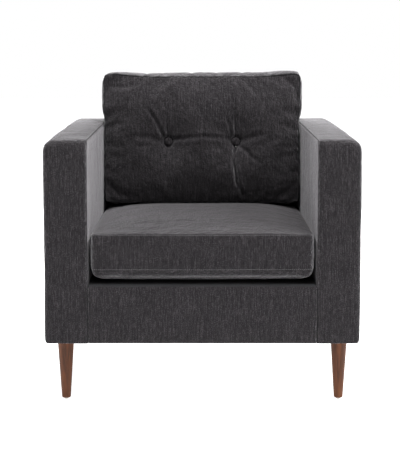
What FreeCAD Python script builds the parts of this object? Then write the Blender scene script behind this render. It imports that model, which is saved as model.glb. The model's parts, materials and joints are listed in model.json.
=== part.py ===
"""A box-arm upholstered armchair with a loose seat cushion and a loose, button-tufted back cushion.

Frame: +X to the right of someone looking at the chair's front, +Y to its back, +Z up.
The origin is on the floor, under the middle of the chair. Left and right are that person's.
Everything is in millimetres.
"""
import FreeCAD, Part
import os
import re
import Sketcher

os.makedirs("parts", exist_ok=True)
DOC = FreeCAD.newDocument("Armchair")

# ---------------------------------------------------------------- driving dimensions
DIMENSIONS = [
    ("width", 800, "overall width, over both arms"),
    ("depth", 808, "overall depth, front of the arms to the outside back"),
    ("base_z", 159, "underside of the body, where the legs begin"),
    ("arm_top", 677, "top of the arms"),
    ("arm_t", 111, "thickness of an arm, cover included"),
    ("back_top", 772, "top of the fixed back"),
    ("back_y", 285, "inside back's face at the height of the deck"),
    ("rake", 5.5, "lean of the inside back, in degrees"),
    ("deck_z", 310, "top of the deck that the seat cushion lies on"),
    ("cloth", 1.5, "thickness of the upholstery fabric with its lining"),
    ("dust", 1, "thickness of the dust cover"),
    ("dust_in", 14, "distance of the dust cover's edge from the outside of the body"),
    ("pad", 16, "foam over the arm frame"),
    ("border_pad", 8, "foam over the front rail"),
    ("back_pad", 15, "foam over the inside back"),
    ("board", 4, "fibreboard panels"),
    ("plank", 24, "thickness of the boards in the seat box and the back"),
    ("post_d", 45, "front-to-back size of the arm posts"),
    ("base_rail", 40, "height of the rail at the bottom of an arm"),
    ("top_rail", 32, "height of the rail at the top of an arm"),
    ("rail_top", 290, "top of the seat box, where the springs are clipped"),
    ("tie_rail", 70, "height of the arm's rail that the seat box is bolted to"),
    ("block", 60, "length of a corner block along each board it is glued to"),
    ("block_h", 80, "height of a corner block"),
    ("block_up", 20, "height of a corner block above the bottom of the seat box"),
    ("bolt_z", 250, "height of the bolts between an arm and the seat box"),
    ("bolt_r", 4, "radius of the bolts and the hanger bolts"),
    ("bolt_l", 80, "length of an arm bolt, head included"),
    ("head_r", 8, "radius of a bolt's head"),
    ("head_t", 5, "thickness of a bolt's head"),
    ("nut_l", 12, "length of a nut's barrel, which sits in the tie rail"),
    ("nut_wall", 1.2, "wall of a nut's barrel"),
    ("flange_r", 11, "radius of a nut's flange"),
    ("flange_t", 1.5, "thickness of a nut's flange"),
    ("hole_gap", 0.2, "clearance round a bolt in wood or cloth"),
    ("thread_gap", 0.1, "clearance between a bolt and the nut or insert round it, and round the twine"),
    ("arm_round", 22, "rounding of an arm's outer and rear top edge"),
    ("arm_corner", 25, "rounding of an arm's outer rear corner"),
    ("arm_seam", 6, "rounding of an arm's inner top edge"),
    ("arm_end", 4, "rounding round the front of an arm"),
    ("arm_hem", 8, "rounding of an arm's outer and rear bottom edge"),
    ("wire_d", 3.8, "spring wire"),
    ("spring_w", 52, "width of a zigzag spring, to the wire's centre line"),
    ("spring_gap", 110, "distance between springs"),
    ("spring_runs", 28, "cross runs in one spring"),
    ("clip_l", 14, "length and width of a spring's clip"),
    ("clip_h", 7, "height of a spring's clip"),
    ("clip_t", 1.2, "thickness of a clip's lower leaf"),
    ("clip_lip", 1, "thickness of a clip's upper leaf"),
    ("clip_bend", 3, "thickness of a clip's closed end"),
    ("wire_gap", 0.4, "clearance between a clip's lower leaf and the wire"),
    ("pad_gap", 3, "distance of the deck pad from the arms and the back"),
    ("deck_lap", 10, "distance that the front border reaches back over the rail"),
    ("border_round", 7, "rounding of the front border's top edge"),
    ("web_w", 50, "width of a webbing strap"),
    ("web_t", 2, "thickness of a webbing strap"),
    ("web_l", 415, "length of a webbing strap"),
    ("web_up", 20, "foot of the webbing, up the inside back from the deck"),
    ("web_pitch", 126, "distance from one webbing strap to the next"),
    ("top_rail_u", 385, "foot of the back's top rail, up the inside back from the deck"),
    ("top_rail_h", 56, "height of the back's top rail"),
    ("low_rail_u", 12, "foot of the back's lower rail, up the inside back from the deck"),
    ("low_rail_h", 60, "height of the back's lower rail"),
    ("back_round", 9, "rounding of the inside back's upper edges"),
    ("back_lap", 22, "distance from the back's top down to the outside back cover"),
    ("board_gap", 2, "distance of the outside back's board from the arms"),
    ("seat_w", 566, "width of the seat cushion"),
    ("seat_front", 402, "seat cushion's front, forward of the middle"),
    ("seat_back", 276, "seat cushion's rear, behind the middle"),
    ("seat_top", 448, "top of the seat cushion's block"),
    ("seat_round", 18, "rounding of the seat cushion's edges"),
    ("fibre", 15, "polyester fibre wrapped round the seat foam"),
    ("rest_gap", 0.3, "clearance under a loose cushion and round a zip slider"),
    ("pillow_w", 576.4, "width of the back cushion between the arms"),
    ("pillow_wide", 604, "width of the back cushion above the arms"),
    ("pillow_h", 350, "height of the back cushion, along its lean"),
    ("pillow_t", 170, "thickness of the back cushion"),
    ("pillow_u", 142, "back cushion's bottom, up the inside back from the deck"),
    ("pillow_gap", 2, "clearance behind the back cushion"),
    ("shoulder", 232, "height at which the back cushion widens over the arms"),
    ("shoulder_h", 24, "height over which the back cushion widens"),
    ("pillow_round", 14, "rounding of the back cushion's edges"),
    ("button_x", 98.5, "sideways distance of a button from the middle"),
    ("button_u", 160, "height of the buttons above the back cushion's bottom"),
    ("button_r", 11, "radius of a button"),
    ("button_h", 6.6, "height of a front button"),
    ("rear_button_h", 3.8, "height of a rear button"),
    ("button_gap", 2, "clearance round a button at the bottom of its dimple"),
    ("tuft", 14, "depth of the dimple round a front button"),
    ("tuft_r", 30, "radius of the dimple at the cushion's face"),
    ("rear_tuft", 5, "depth of the dimple round a rear button"),
    ("rear_tuft_w", 6, "width of the dimple round a rear button, at the cushion's face"),
    ("twine_r", 1, "radius of the twine that ties the buttons"),
    ("zip_w", 10, "width of a zip between its two seams"),
    ("zip_in", 22, "distance of the back cushion's zip from its rear edge"),
    ("seat_zip_in", 30, "distance of the seat cushion's zip from the cushion's sides"),
    ("back_zip_in", 40, "distance of the back cushion's zip from the cushion's sides"),
    ("slider_in", 12, "distance of a closed zip's slider from the end of its tape"),
    ("slider_l", 12, "length of a zip slider"),
    ("slider_w", 9, "width of a zip slider"),
    ("slider_tail", 2, "rounding of the corners at a zip slider's narrow end"),
    ("slider_nose", 3.5, "rounding of the corners at a zip slider's other end"),
    ("slider_t", 3, "thickness of a zip slider"),
    ("leg_x", 352, "leg's axis, sideways from the middle"),
    ("leg_y", 344, "leg's axis, forward or back from the middle"),
    ("leg_top", 21.5, "radius at the top of a leg"),
    ("leg_foot", 11.5, "radius at the bottom of a leg"),
    ("glide_h", 5, "height of the glide under a leg"),
    ("glide_r", 5.5, "radius of a glide"),
    ("glide_bevel", 1, "bevel round the bottom of a glide"),
    ("nail_r", 1.3, "radius of a glide's nail"),
    ("nail_l", 13, "length of a glide's nail above the glide"),
    ("nail_hole", 14, "depth of the nail's hole in a leg"),
    ("foot_round", 1.5, "bevel round the bottom of a leg"),
    ("hanger_l", 64, "length of a hanger bolt"),
    ("hanger_in", 34, "length of a hanger bolt inside the leg"),
    ("insert_l", 20, "length of a threaded insert"),
    ("insert_wall", 2, "distance from the bolt's radius to an insert's outside"),
    ("leg_hole", 32, "depth of the hole for a leg's bolt in the arm's base rail"),
]
SHEET = DOC.addObject("Spreadsheet::Sheet", "Sizes")
for row, (alias, value, meaning) in enumerate(DIMENSIONS, 1):
    SHEET.set(f"A{row}", alias)
    SHEET.set(f"B{row}", str(value))
    SHEET.setAlias(f"B{row}", alias)
    SHEET.set(f"C{row}", meaning)
DOC.recompute()
ALIASES = {alias for alias, _, _ in DIMENSIONS}

# ---------------------------------------------------------------- places worked out from the sheet
SIDE = "width / 2"
FRONT = "-depth / 2"
REAR = "depth / 2"
ARM_IN = "(width / 2 - arm_t)"
WOOD_IN = f"({ARM_IN} + cloth + pad + board)"
WOOD_OUT = f"({SIDE} - cloth - pad - board)"
WOOD_FRONT = f"({FRONT} + cloth + pad)"
WOOD_REAR = f"({REAR} - cloth - pad)"
WOOD_TOP = "(arm_top - cloth - pad)"
BOTTOM = "(base_z + dust)"
RAIL_FRONT = f"({FRONT} + cloth + border_pad)"
RAIL_BACK = f"({RAIL_FRONT} + plank)"
SEAT_REAR = "(back_y - pad_gap)"
BOARD_Y = f"({REAR} - cloth - board)"
WIRE_Z = "(rail_top + clip_t + wire_gap + wire_d / 2)"
CLIP_TOP = "(rail_top + clip_h)"
BORDER_REAR = f"({RAIL_BACK} + deck_lap)"
OUTER_LAP = "(back_top - back_lap)"
SEAT_LOW = "(deck_z + rest_gap)"
BOLT_PLACES = ("-290", "-55", "180")
SPRING_PLACES = (-2, -1, 0, 1, 2)
STRAP_PLACES = (-1.5, -0.5, 0.5, 1.5)
CLOTH_STEPS = {"outer": "0", "inner": "cloth"}
# How far a tool runs past the piece that it cuts, in millimetres.
PAST = 5

NODES = []


# ---------------------------------------------------------------- ways of making a piece
def formula(text):
    """The text as a FreeCAD expression, in which every name of the sheet is spelt out."""
    return re.sub(r"[a-z]\w*", lambda word: f"Sizes.{word[0]}" if word[0] in ALIASES else word[0], text)


def amount(text):
    """The present value of a formula."""
    return float(SHEET.evalExpression(formula(text)))


def bind(piece, prop, text):
    piece.setExpression(prop, formula(text))


def node(piece, label):
    """Hands a finished piece in under its own name."""
    piece.Label = label
    NODES.append(piece)
    return piece


def place(piece, x="0", y="0", z="0", turn=None):
    """Puts a piece at three formulas, turned about an axis by an angle in degrees if turn gives them."""
    if turn:
        axis, angle = turn
        piece.Placement = FreeCAD.Placement(FreeCAD.Vector(), FreeCAD.Rotation(FreeCAD.Vector(*axis), angle))
    for axis, text in zip("xyz", (x, y, z)):
        bind(piece, f".Placement.Base.{axis}", text)
    return piece


def lean(piece, x="0", inward="0", up="0"):
    """Puts a piece in the leaning frame of the inside back.

    Its origin is the foot of the inside back's face, inward runs into the back and up runs up its face.
    """
    piece.Placement = FreeCAD.Placement(FreeCAD.Vector(), FreeCAD.Rotation(FreeCAD.Vector(1, 0, 0), -1))
    bind(piece, ".Placement.Rotation.Angle", "-rake")
    bind(piece, ".Placement.Base.x", x)
    bind(piece, ".Placement.Base.y", f"back_y + ({inward}) * cos(rake) + ({up}) * sin(rake)")
    bind(piece, ".Placement.Base.z", f"deck_z - ({inward}) * sin(rake) + ({up}) * cos(rake)")
    return piece


def box(name, low, high):
    """A board or sheet between two opposite corners."""
    piece = DOC.addObject("Part::Box", name)
    for prop, start, end in zip(("Length", "Width", "Height"), low, high):
        bind(piece, prop, f"({end}) - ({start})")
    return place(piece, *low)


def rod(name, radius, length, axis="z"):
    """A round bar that starts at the origin and runs along one axis."""
    piece = DOC.addObject("Part::Cylinder", name)
    bind(piece, "Radius", radius)
    bind(piece, "Height", length)
    turns = {"x": ((0, 1, 0), 90), "y": ((1, 0, 0), -90), "z": ((0, 0, 1), 0)}
    piece.Placement.Rotation = FreeCAD.Rotation(FreeCAD.Vector(*turns[axis][0]), turns[axis][1])
    return piece


def outline(body, role, points):
    """A closed outline of straight lines on one of the body's planes, every corner at two formulas."""
    sketch = body.newObject("Sketcher::SketchObject", f"{body.Name}_outline")
    origin_plane = [item for item in body.Origin.OriginFeatures if item.Role == role][0]
    sketch.AttachmentSupport = [(origin_plane, "")]
    sketch.MapMode = "FlatFace"
    corners = [FreeCAD.Vector(amount(across), amount(up), 0) for across, up in points]
    count = len(corners)
    for number in range(count):
        sketch.addGeometry(Part.LineSegment(corners[number], corners[(number + 1) % count]), False)
    for number in range(count):
        sketch.addConstraint(Sketcher.Constraint("Coincident", number, 2, (number + 1) % count, 1))
    for number, texts in enumerate(points):
        for kind, text, value in zip(("DistanceX", "DistanceY"), texts, corners[number]):
            index = sketch.addConstraint(Sketcher.Constraint(kind, -1, 1, number, 1, value))
            sketch.setExpression(f"Constraints[{index}]", formula(text))
    return sketch


def side_panel(name, points, low_x, high_x):
    """A flat panel of the outline that its points, front-to-back and up, give, from low_x to high_x."""
    body = DOC.addObject("PartDesign::Body", name)
    pad = body.newObject("PartDesign::Pad", f"{name}_pad")
    pad.Profile = outline(body, "YZ_Plane", points)
    bind(pad, "Length", f"({high_x}) - ({low_x})")
    return place(body, x=low_x)


def turned(name, points):
    """A turned piece about the Z axis, from an outline of radius and height."""
    body = DOC.addObject("PartDesign::Body", name)
    sketch = outline(body, "XZ_Plane", points)
    turning = body.newObject("PartDesign::Revolution", f"{name}_turning")
    turning.Profile = sketch
    turning.ReferenceAxis = (sketch, ["V_Axis"])
    turning.Angle = 360
    return body


def edges_on(shape, sides, besides=None):
    """The names of the edges that lie on all of the given sides of the shape's box, such as ("+x", "+z").

    Edges that also lie on the side named by besides are left out.
    """
    limits = shape.BoundBox
    planes = {"-x": ("x", limits.XMin), "+x": ("x", limits.XMax), "-y": ("y", limits.YMin),
              "+y": ("y", limits.YMax), "-z": ("z", limits.ZMin), "+z": ("z", limits.ZMax)}

    def lies_on(edge, side):
        axis, level = planes[side]
        middle = edge.valueAt((edge.FirstParameter + edge.LastParameter) / 2)
        points = [vertex.Point for vertex in edge.Vertexes] + [middle]
        return all(abs(getattr(point, axis) - level) < 0.01 for point in points)

    names = []
    for number, edge in enumerate(shape.Edges, 1):
        if all(lies_on(edge, side) for side in sides) and not (besides and lies_on(edge, besides)):
            names.append(f"Edge{number}")
    return names


def round_edges(body, rounds):
    """Rounds a body's edges in turn.

    Each entry is the sides that the edges lie on, a side to leave out, and the radius.
    """
    DOC.recompute()
    for number, (sides, besides, radius) in enumerate(rounds, 1):
        tip = body.Tip
        fillet = body.newObject("PartDesign::Fillet", f"{body.Name}_round{number}")
        fillet.Base = (tip, edges_on(tip.Shape, sides, besides))
        bind(fillet, "Radius", radius)
        DOC.recompute()
    return body


def soft_block(name, low, high, rounds):
    """A padded block between two opposite corners, with rounded edges."""
    body = DOC.addObject("PartDesign::Body", name)
    across = f"({high[0]}) - ({low[0]})"
    along = f"({high[1]}) - ({low[1]})"
    pad = body.newObject("PartDesign::Pad", f"{name}_pad")
    pad.Profile = outline(body, "XY_Plane", [("0", "0"), (across, "0"), (across, along), ("0", along)])
    bind(pad, "Length", f"({high[2]}) - ({low[2]})")
    round_edges(body, rounds)
    return place(body, *low)


def cut(name, base, tool):
    piece = DOC.addObject("Part::Cut", name)
    piece.Base = base
    piece.Tool = tool
    return piece


def group(name, members):
    """Several separate solids held as one piece of the list."""
    piece = DOC.addObject("Part::Compound", name)
    piece.Links = members
    return piece


def mirrored(piece, name, normal=(1, 0, 0)):
    """The same piece on the other side of the chair's middle."""
    other = DOC.addObject("Part::Mirroring", name)
    other.Source = piece
    other.Normal = FreeCAD.Vector(*normal)
    return other


def pair(piece, name):
    """Hands in a right-hand piece and its mirror image on the left."""
    node(piece, f"{name}_right")
    node(mirrored(piece, f"{name}_left"), f"{name}_left")


def four_corners(piece, name):
    """A piece at the front right corner and its three mirror images."""
    front_left = mirrored(piece, f"{name}_at_front_left")
    rear_right = mirrored(piece, f"{name}_at_rear_right", (0, 1, 0))
    rear_left = mirrored(rear_right, f"{name}_at_rear_left")
    return [piece, front_left, rear_right, rear_left]


# ---------------------------------------------------------------- arms
def make_arms():
    """Each arm is a wooden frame with fibreboard on both sides, wrapped in foam and a fitted cover."""
    bolt_holes = []
    nut_holes = []
    for number, along in enumerate(BOLT_PLACES, 1):
        hole = rod(f"arm_bolt_hole{number}", "bolt_r + hole_gap", f"plank + bolt_l + 3 * {PAST}", "x")
        bolt_holes.append(place(hole, f"{ARM_IN} - plank - {PAST}", along, "bolt_z"))
        nut_hole = rod(f"arm_nut_hole{number}", "bolt_r + nut_wall + thread_gap", f"nut_l + 2 * {PAST}", "x")
        nut_holes.append(place(nut_hole, f"{WOOD_IN} + plank - nut_l - board / 2", along, "bolt_z"))
    bolt_hole_tool = group("arm_bolt_holes", bolt_holes)
    nut_hole_tool = group("arm_nut_holes", nut_holes)

    base = box("arm_base_rail_blank", (WOOD_IN, WOOD_FRONT, BOTTOM),
               (WOOD_OUT, WOOD_REAR, f"{BOTTOM} + base_rail"))
    leg_hole = turned("leg_bolt_hole", [
        ("0", "0"), ("bolt_r + insert_wall", "0"), ("bolt_r + insert_wall", "insert_l"),
        ("bolt_r + hole_gap", "insert_l"), ("bolt_r + hole_gap", "leg_hole"), ("0", "leg_hole")])
    place(leg_hole, "leg_x", "-leg_y", BOTTOM)
    leg_holes = group("leg_bolt_holes", [leg_hole, mirrored(leg_hole, "leg_bolt_hole_rear", (0, 1, 0))])
    pair(cut("arm_base_rail_right", base, leg_holes), "arm_base_rail")

    post_low = f"{BOTTOM} + base_rail"
    post_high = f"{WOOD_TOP} - top_rail"
    pair(box("arm_front_post_right", (WOOD_IN, WOOD_FRONT, post_low),
             (WOOD_OUT, f"{WOOD_FRONT} + post_d", post_high)), "arm_front_post")
    pair(box("arm_rear_post_right", (WOOD_IN, f"{WOOD_REAR} - post_d", post_low),
             (WOOD_OUT, WOOD_REAR, post_high)), "arm_rear_post")
    pair(box("arm_top_rail_right", (WOOD_IN, WOOD_FRONT, post_high), (WOOD_OUT, WOOD_REAR, WOOD_TOP)),
         "arm_top_rail")

    tie = box("arm_tie_rail_blank", (WOOD_IN, f"{WOOD_FRONT} + post_d", "bolt_z - tie_rail / 2"),
              (f"{WOOD_IN} + plank", f"{WOOD_REAR} - post_d", "bolt_z + tie_rail / 2"))
    tie_bored = cut("arm_tie_rail_bored", tie, bolt_hole_tool)
    pair(cut("arm_tie_rail_right", tie_bored, nut_hole_tool), "arm_tie_rail")

    inner = box("arm_inner_panel_blank", (f"{WOOD_IN} - board", WOOD_FRONT, BOTTOM),
                (WOOD_IN, WOOD_REAR, WOOD_TOP))
    pair(cut("arm_inner_panel_right", inner, bolt_hole_tool), "arm_inner_panel")
    pair(box("arm_outer_panel_right", (WOOD_OUT, WOOD_FRONT, BOTTOM),
             (f"{WOOD_OUT} + board", WOOD_REAR, WOOD_TOP)), "arm_outer_panel")

    skins = {}
    for skin, inset in CLOTH_STEPS.items():
        skins[skin] = soft_block(
            f"arm_{skin}_skin",
            (f"{ARM_IN} + {inset}", f"{FRONT} + {inset}", BOTTOM),
            (f"{SIDE} - {inset}", f"{REAR} - {inset}", f"arm_top - {inset}"),
            [(("+x", "+y"), None, f"arm_corner - {inset}"),
             (("-x", "+z"), None, f"arm_seam - {inset}"),
             (("+x", "+z"), None, f"arm_round - {inset}"),
             (("+x", "-z"), None, f"arm_hem - {inset}"),
             (("-y",), "-z", f"arm_end - {inset}")])
    frame_space = box("arm_frame_space", (f"{WOOD_IN} - board", WOOD_FRONT, BOTTOM),
                      (f"{WOOD_OUT} + board", WOOD_REAR, WOOD_TOP))
    wrap = cut("arm_foam_wrap", skins["inner"], frame_space)
    pair(cut("arm_foam_right", wrap, bolt_hole_tool), "arm_foam")
    sleeve = cut("arm_cover_sleeve", skins["outer"], skins["inner"])
    pair(cut("arm_cover_right", sleeve, bolt_hole_tool), "arm_cover")
    return bolt_hole_tool


# ---------------------------------------------------------------- seat box
def make_seat_box(bolt_hole_tool):
    """The seat box is four boards with glued corner blocks. The arms are bolted to its sides."""
    node(box("seat_front_rail", (f"-{ARM_IN}", RAIL_FRONT, BOTTOM), (ARM_IN, RAIL_BACK, "rail_top")),
         "seat_front_rail")
    node(box("seat_rear_rail", (f"-{ARM_IN}", f"{SEAT_REAR} - plank", BOTTOM),
             (ARM_IN, SEAT_REAR, "rail_top")), "seat_rear_rail")
    side = box("seat_side_rail_blank", (f"{ARM_IN} - plank", RAIL_BACK, BOTTOM),
               (ARM_IN, f"{SEAT_REAR} - plank", "rail_top"))
    pair(cut("seat_side_rail_right", side, bolt_hole_tool), "seat_side_rail")

    blocks = []
    for end, level, inward in (("front", RAIL_BACK, "block"), ("rear", f"{SEAT_REAR} - plank", "-block")):
        block = DOC.addObject("PartDesign::Body", f"corner_block_{end}")
        pad = block.newObject("PartDesign::Pad", f"corner_block_{end}_pad")
        pad.Profile = outline(block, "XY_Plane", [("0", "0"), ("-block", "0"), ("0", inward)])
        bind(pad, "Length", "block_h")
        blocks.append(place(block, f"{ARM_IN} - plank", level, f"{BOTTOM} + block_up"))
        blocks.append(mirrored(block, f"corner_block_{end}_left"))
    node(group("seat_corner_blocks", blocks), "seat_corner_blocks")

    bolts = []
    nuts = []
    for number, along in enumerate(BOLT_PLACES, 1):
        bolt = turned(f"arm_bolt{number}", [
            ("0", "0"), ("head_r", "0"), ("head_r", "head_t"), ("bolt_r", "head_t"), ("bolt_r", "bolt_l"),
            ("0", "bolt_l")])
        place(bolt, f"{ARM_IN} - plank - head_t", along, "bolt_z", ((0, 1, 0), 90))
        bolts += [bolt, mirrored(bolt, f"arm_bolt{number}_left")]
        nut = turned(f"arm_nut{number}", [
            ("bolt_r + thread_gap", "0"), ("bolt_r + nut_wall", "0"), ("bolt_r + nut_wall", "nut_l"),
            ("flange_r", "nut_l"), ("flange_r", "nut_l + flange_t"),
            ("bolt_r + thread_gap", "nut_l + flange_t")])
        place(nut, f"{WOOD_IN} + plank - nut_l", along, "bolt_z", ((0, 1, 0), 90))
        nuts += [nut, mirrored(nut, f"arm_nut{number}_left")]
    node(group("arm_bolts", bolts), "arm_bolts")
    node(group("arm_bolt_nuts", nuts), "arm_bolt_nuts")


# ---------------------------------------------------------------- springs and deck
def zigzag_spring(middle_x):
    """One zigzag spring from the front rail to the rear rail: cross runs joined by half circles."""
    front = amount(f"({RAIL_FRONT} + {RAIL_BACK}) / 2")
    rear = amount(f"{SEAT_REAR} - plank / 2")
    runs = int(amount("spring_runs"))
    pitch = (rear - front) / (runs - 1)
    reach = amount("spring_w") / 2 - pitch / 2
    level = amount(WIRE_Z)
    edges = []
    for number in range(runs):
        along = front + number * pitch
        way = 1 if number % 2 == 0 else -1
        start = FreeCAD.Vector(middle_x - way * reach, along, level)
        end = FreeCAD.Vector(middle_x + way * reach, along, level)
        edges.append(Part.LineSegment(start, end).toShape())
        if number < runs - 1:
            bulge = FreeCAD.Vector(middle_x + way * (reach + pitch / 2), along + pitch / 2, level)
            turn_end = FreeCAD.Vector(end.x, along + pitch, level)
            edges.append(Part.Arc(end, bulge, turn_end).toShape())
    path = Part.Wire(edges)
    start = path.OrderedVertexes[0].Point
    section = Part.Wire(Part.makeCircle(amount("wire_d / 2"), start, FreeCAD.Vector(1, 0, 0)))
    return path.makePipeShell([section], True, True)


def make_suspension():
    """Five zigzag springs clipped to the seat box, with a felt pad and the deck cloth over them."""
    springs = DOC.addObject("Part::Feature", "seat_springs")
    middles = [amount(f"{place_number} * spring_gap") for place_number in SPRING_PLACES]
    springs.Shape = Part.makeCompound([zigzag_spring(middle) for middle in middles])
    springs.Placement = FreeCAD.Placement()
    node(springs, "seat_springs")

    clips = []
    bend = "clip_bend - clip_l / 2"
    lip = "clip_h - clip_lip"
    hook = [("-clip_l / 2", "0"), ("clip_l / 2", "0"), ("clip_l / 2", "clip_t"), (bend, "clip_t"),
            (bend, lip), ("clip_l / 2", lip), ("clip_l / 2", "clip_h"), ("-clip_l / 2", "clip_h")]
    flipped = [(f"-({across})", up) for across, up in hook]
    for number, place_number in enumerate(SPRING_PLACES, 1):
        edge = f"{place_number} * spring_gap - clip_l / 2"
        front = side_panel(f"clip_front{number}", hook, "0", "clip_l")
        clips.append(place(front, edge, f"({RAIL_FRONT} + {RAIL_BACK}) / 2", "rail_top"))
        rear = side_panel(f"clip_rear{number}", flipped, "0", "clip_l")
        clips.append(place(rear, edge, f"{SEAT_REAR} - plank / 2", "rail_top"))
    node(group("spring_clips", clips), "spring_clips")

    node(box("deck_pad", (f"pad_gap - {ARM_IN}", RAIL_BACK, CLIP_TOP),
             (f"{ARM_IN} - pad_gap", SEAT_REAR, "deck_z - cloth")), "deck_pad")
    node(box("deck_cloth", (f"-{ARM_IN}", BORDER_REAR, "deck_z - cloth"), (ARM_IN, "back_y", "deck_z")),
         "deck_cloth")


# ---------------------------------------------------------------- front border
def make_front_border():
    """The padded panel across the front rail, between the arms and level with their fronts."""
    skins = {}
    for skin, inset in CLOTH_STEPS.items():
        skins[skin] = soft_block(
            f"border_{skin}_skin",
            (f"-{ARM_IN}", f"{FRONT} + {inset}", BOTTOM),
            (ARM_IN, BORDER_REAR, f"deck_z - {inset}"),
            [(("-y", "+z"), None, f"border_round - {inset}")])
    node(cut("front_border_cover", skins["outer"], skins["inner"]), "front_border_cover")
    rail_space = box("border_rail_space", (f"-{ARM_IN}", RAIL_FRONT, BOTTOM), (ARM_IN, RAIL_BACK, CLIP_TOP))
    padding = cut("border_padding", skins["inner"], rail_space)
    behind = box("border_behind_space", (f"-{ARM_IN}", RAIL_BACK, BOTTOM),
                 (ARM_IN, f"{BORDER_REAR} + {PAST}", "deck_z"))
    node(cut("front_border_foam", padding, behind), "front_border_foam")


# ---------------------------------------------------------------- back
def leaning_y(inset, level):
    """Front-to-back place, at a level, of a plane that lies inset behind the inside back's face."""
    return f"(back_y + ({inset}) / cos(rake) + ({level} - deck_z) * tan(rake))"


def back_block(name, front, edge):
    """The back's block: set in from its face by front, and from its top, sides and rear by edge."""
    top = f"(back_top - ({front}))"
    profile = [(leaning_y(front, "deck_z"), "deck_z"), (f"{REAR} - ({edge})", "deck_z"),
               (f"{REAR} - ({edge})", top), (leaning_y(front, top), top)]
    return side_panel(name, profile, f"{edge} - {ARM_IN}", f"{ARM_IN} - ({edge})")


def make_back():
    """Two posts and two rails with webbing, padded in front and covered on both sides."""
    board_front = "cloth + back_pad"
    top = f"(back_top - ({board_front}))"
    post_outline = [(SEAT_REAR, BOTTOM), (BOARD_Y, BOTTOM), (BOARD_Y, top),
                    (leaning_y(board_front, top), top), (leaning_y(board_front, "rail_top"), "rail_top"),
                    (SEAT_REAR, "rail_top")]
    half_gap = f"({ARM_IN} - cloth - plank)"
    pair(side_panel("back_post_right", post_outline, half_gap, f"{ARM_IN} - cloth"), "back_post")

    rails = (("back_top_rail", "top_rail_u", "top_rail_h"), ("back_lower_rail", "low_rail_u", "low_rail_h"))
    for name, foot, height in rails:
        rail = box(name, (f"-{half_gap}", "0", "0"), (half_gap, "plank", height))
        node(lean(rail, f"-{half_gap}", f"{board_front} + web_t", foot), name)
    straps = []
    for number, place_number in enumerate(STRAP_PLACES, 1):
        strap = box(f"webbing{number}", ("0", "0", "0"), ("web_w", "web_t", "web_l"))
        straps.append(lean(strap, f"{place_number} * web_pitch - web_w / 2", board_front, "web_up"))
    node(group("back_webbing", straps), "back_webbing")

    skins = {}
    for skin, inset in CLOTH_STEPS.items():
        skins[skin] = round_edges(back_block(f"back_{skin}_skin", inset, inset),
                                  [(("+z",), "-z", f"back_round - {inset}")])
    frame_space = back_block("back_frame_space", board_front, f"-{PAST}")
    node(cut("back_foam", skins["inner"], frame_space), "back_foam")
    sleeve = cut("back_sleeve", skins["outer"], skins["inner"])
    rear_opening = box("back_rear_opening", (f"-{ARM_IN}", f"{REAR} - cloth", "deck_z"),
                       (ARM_IN, f"{REAR} + {PAST}", OUTER_LAP))
    node(cut("inside_back_cover", sleeve, rear_opening), "inside_back_cover")
    node(box("outside_back_board", (f"board_gap - {ARM_IN}", BOARD_Y, BOTTOM),
             (f"{ARM_IN} - board_gap", f"{REAR} - cloth", top)), "outside_back_board")
    node(box("outside_back_cover", (f"-{ARM_IN}", f"{REAR} - cloth", BOTTOM), (ARM_IN, REAR, OUTER_LAP)),
         "outside_back_cover")


# ---------------------------------------------------------------- legs and underside
def make_underside():
    """Turned legs on hanger bolts, a glide under each, and the dust cover stapled under the body."""
    leg_length = "(base_z - glide_h)"
    leg = turned("leg_front_right", [
        ("0", "nail_hole"), ("nail_r", "nail_hole"), ("nail_r", "0"), ("leg_foot - foot_round", "0"),
        ("leg_foot", "foot_round"), ("leg_top", leg_length), ("bolt_r", leg_length),
        ("bolt_r", f"{leg_length} - hanger_in"), ("0", f"{leg_length} - hanger_in")])
    place(leg, "leg_x", "-leg_y", "glide_h")
    names = ("leg_front_right", "leg_front_left", "leg_rear_right", "leg_rear_left")
    for piece, name in zip(four_corners(leg, "leg"), names):
        node(piece, name)

    bolt = rod("hanger_bolt", "bolt_r", "hanger_l")
    place(bolt, "leg_x", "-leg_y", "base_z - hanger_in")
    node(group("leg_hanger_bolts", four_corners(bolt, "hanger_bolt")), "leg_hanger_bolts")
    insert = turned("leg_insert", [
        ("bolt_r + thread_gap", "0"), ("bolt_r + insert_wall", "0"), ("bolt_r + insert_wall", "insert_l"),
        ("bolt_r + thread_gap", "insert_l")])
    place(insert, "leg_x", "-leg_y", BOTTOM)
    node(group("leg_inserts", four_corners(insert, "leg_insert")), "leg_inserts")
    glide = turned("glide", [
        ("0", "0"), ("glide_r - glide_bevel", "0"), ("glide_r", "glide_bevel"), ("glide_r", "glide_h"),
        ("nail_r", "glide_h"), ("nail_r", "glide_h + nail_l"), ("0", "glide_h + nail_l")])
    place(glide, "leg_x", "-leg_y", "0")
    node(group("leg_glides", four_corners(glide, "glide")), "leg_glides")

    sheet = box("dust_cover_blank",
                (f"dust_in - {SIDE}", f"{FRONT} + dust_in", "base_z"),
                (f"{SIDE} - dust_in", f"{REAR} - dust_in", BOTTOM))
    hole = rod("dust_cover_hole", "bolt_r + hole_gap", f"dust + 2 * {PAST}")
    place(hole, "leg_x", "-leg_y", f"base_z - {PAST}")
    holes = group("dust_cover_holes", four_corners(hole, "dust_cover_hole"))
    node(cut("dust_cover", sheet, holes), "dust_cover")


# ---------------------------------------------------------------- zips
def zip_slider(name):
    """A zip slider with no pull tab: a small plate, rounded at its corners, that lies in the XY plane."""
    corners = [(("-x", "-y"), None, "slider_tail"), (("-x", "+y"), None, "slider_tail"),
               (("+x", "-y"), None, "slider_nose"), (("+x", "+y"), None, "slider_nose")]
    return soft_block(name, ("-slider_l / 2", "-slider_w / 2", "0"),
                      ("slider_l / 2", "slider_w / 2", "slider_t"), corners)


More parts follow.
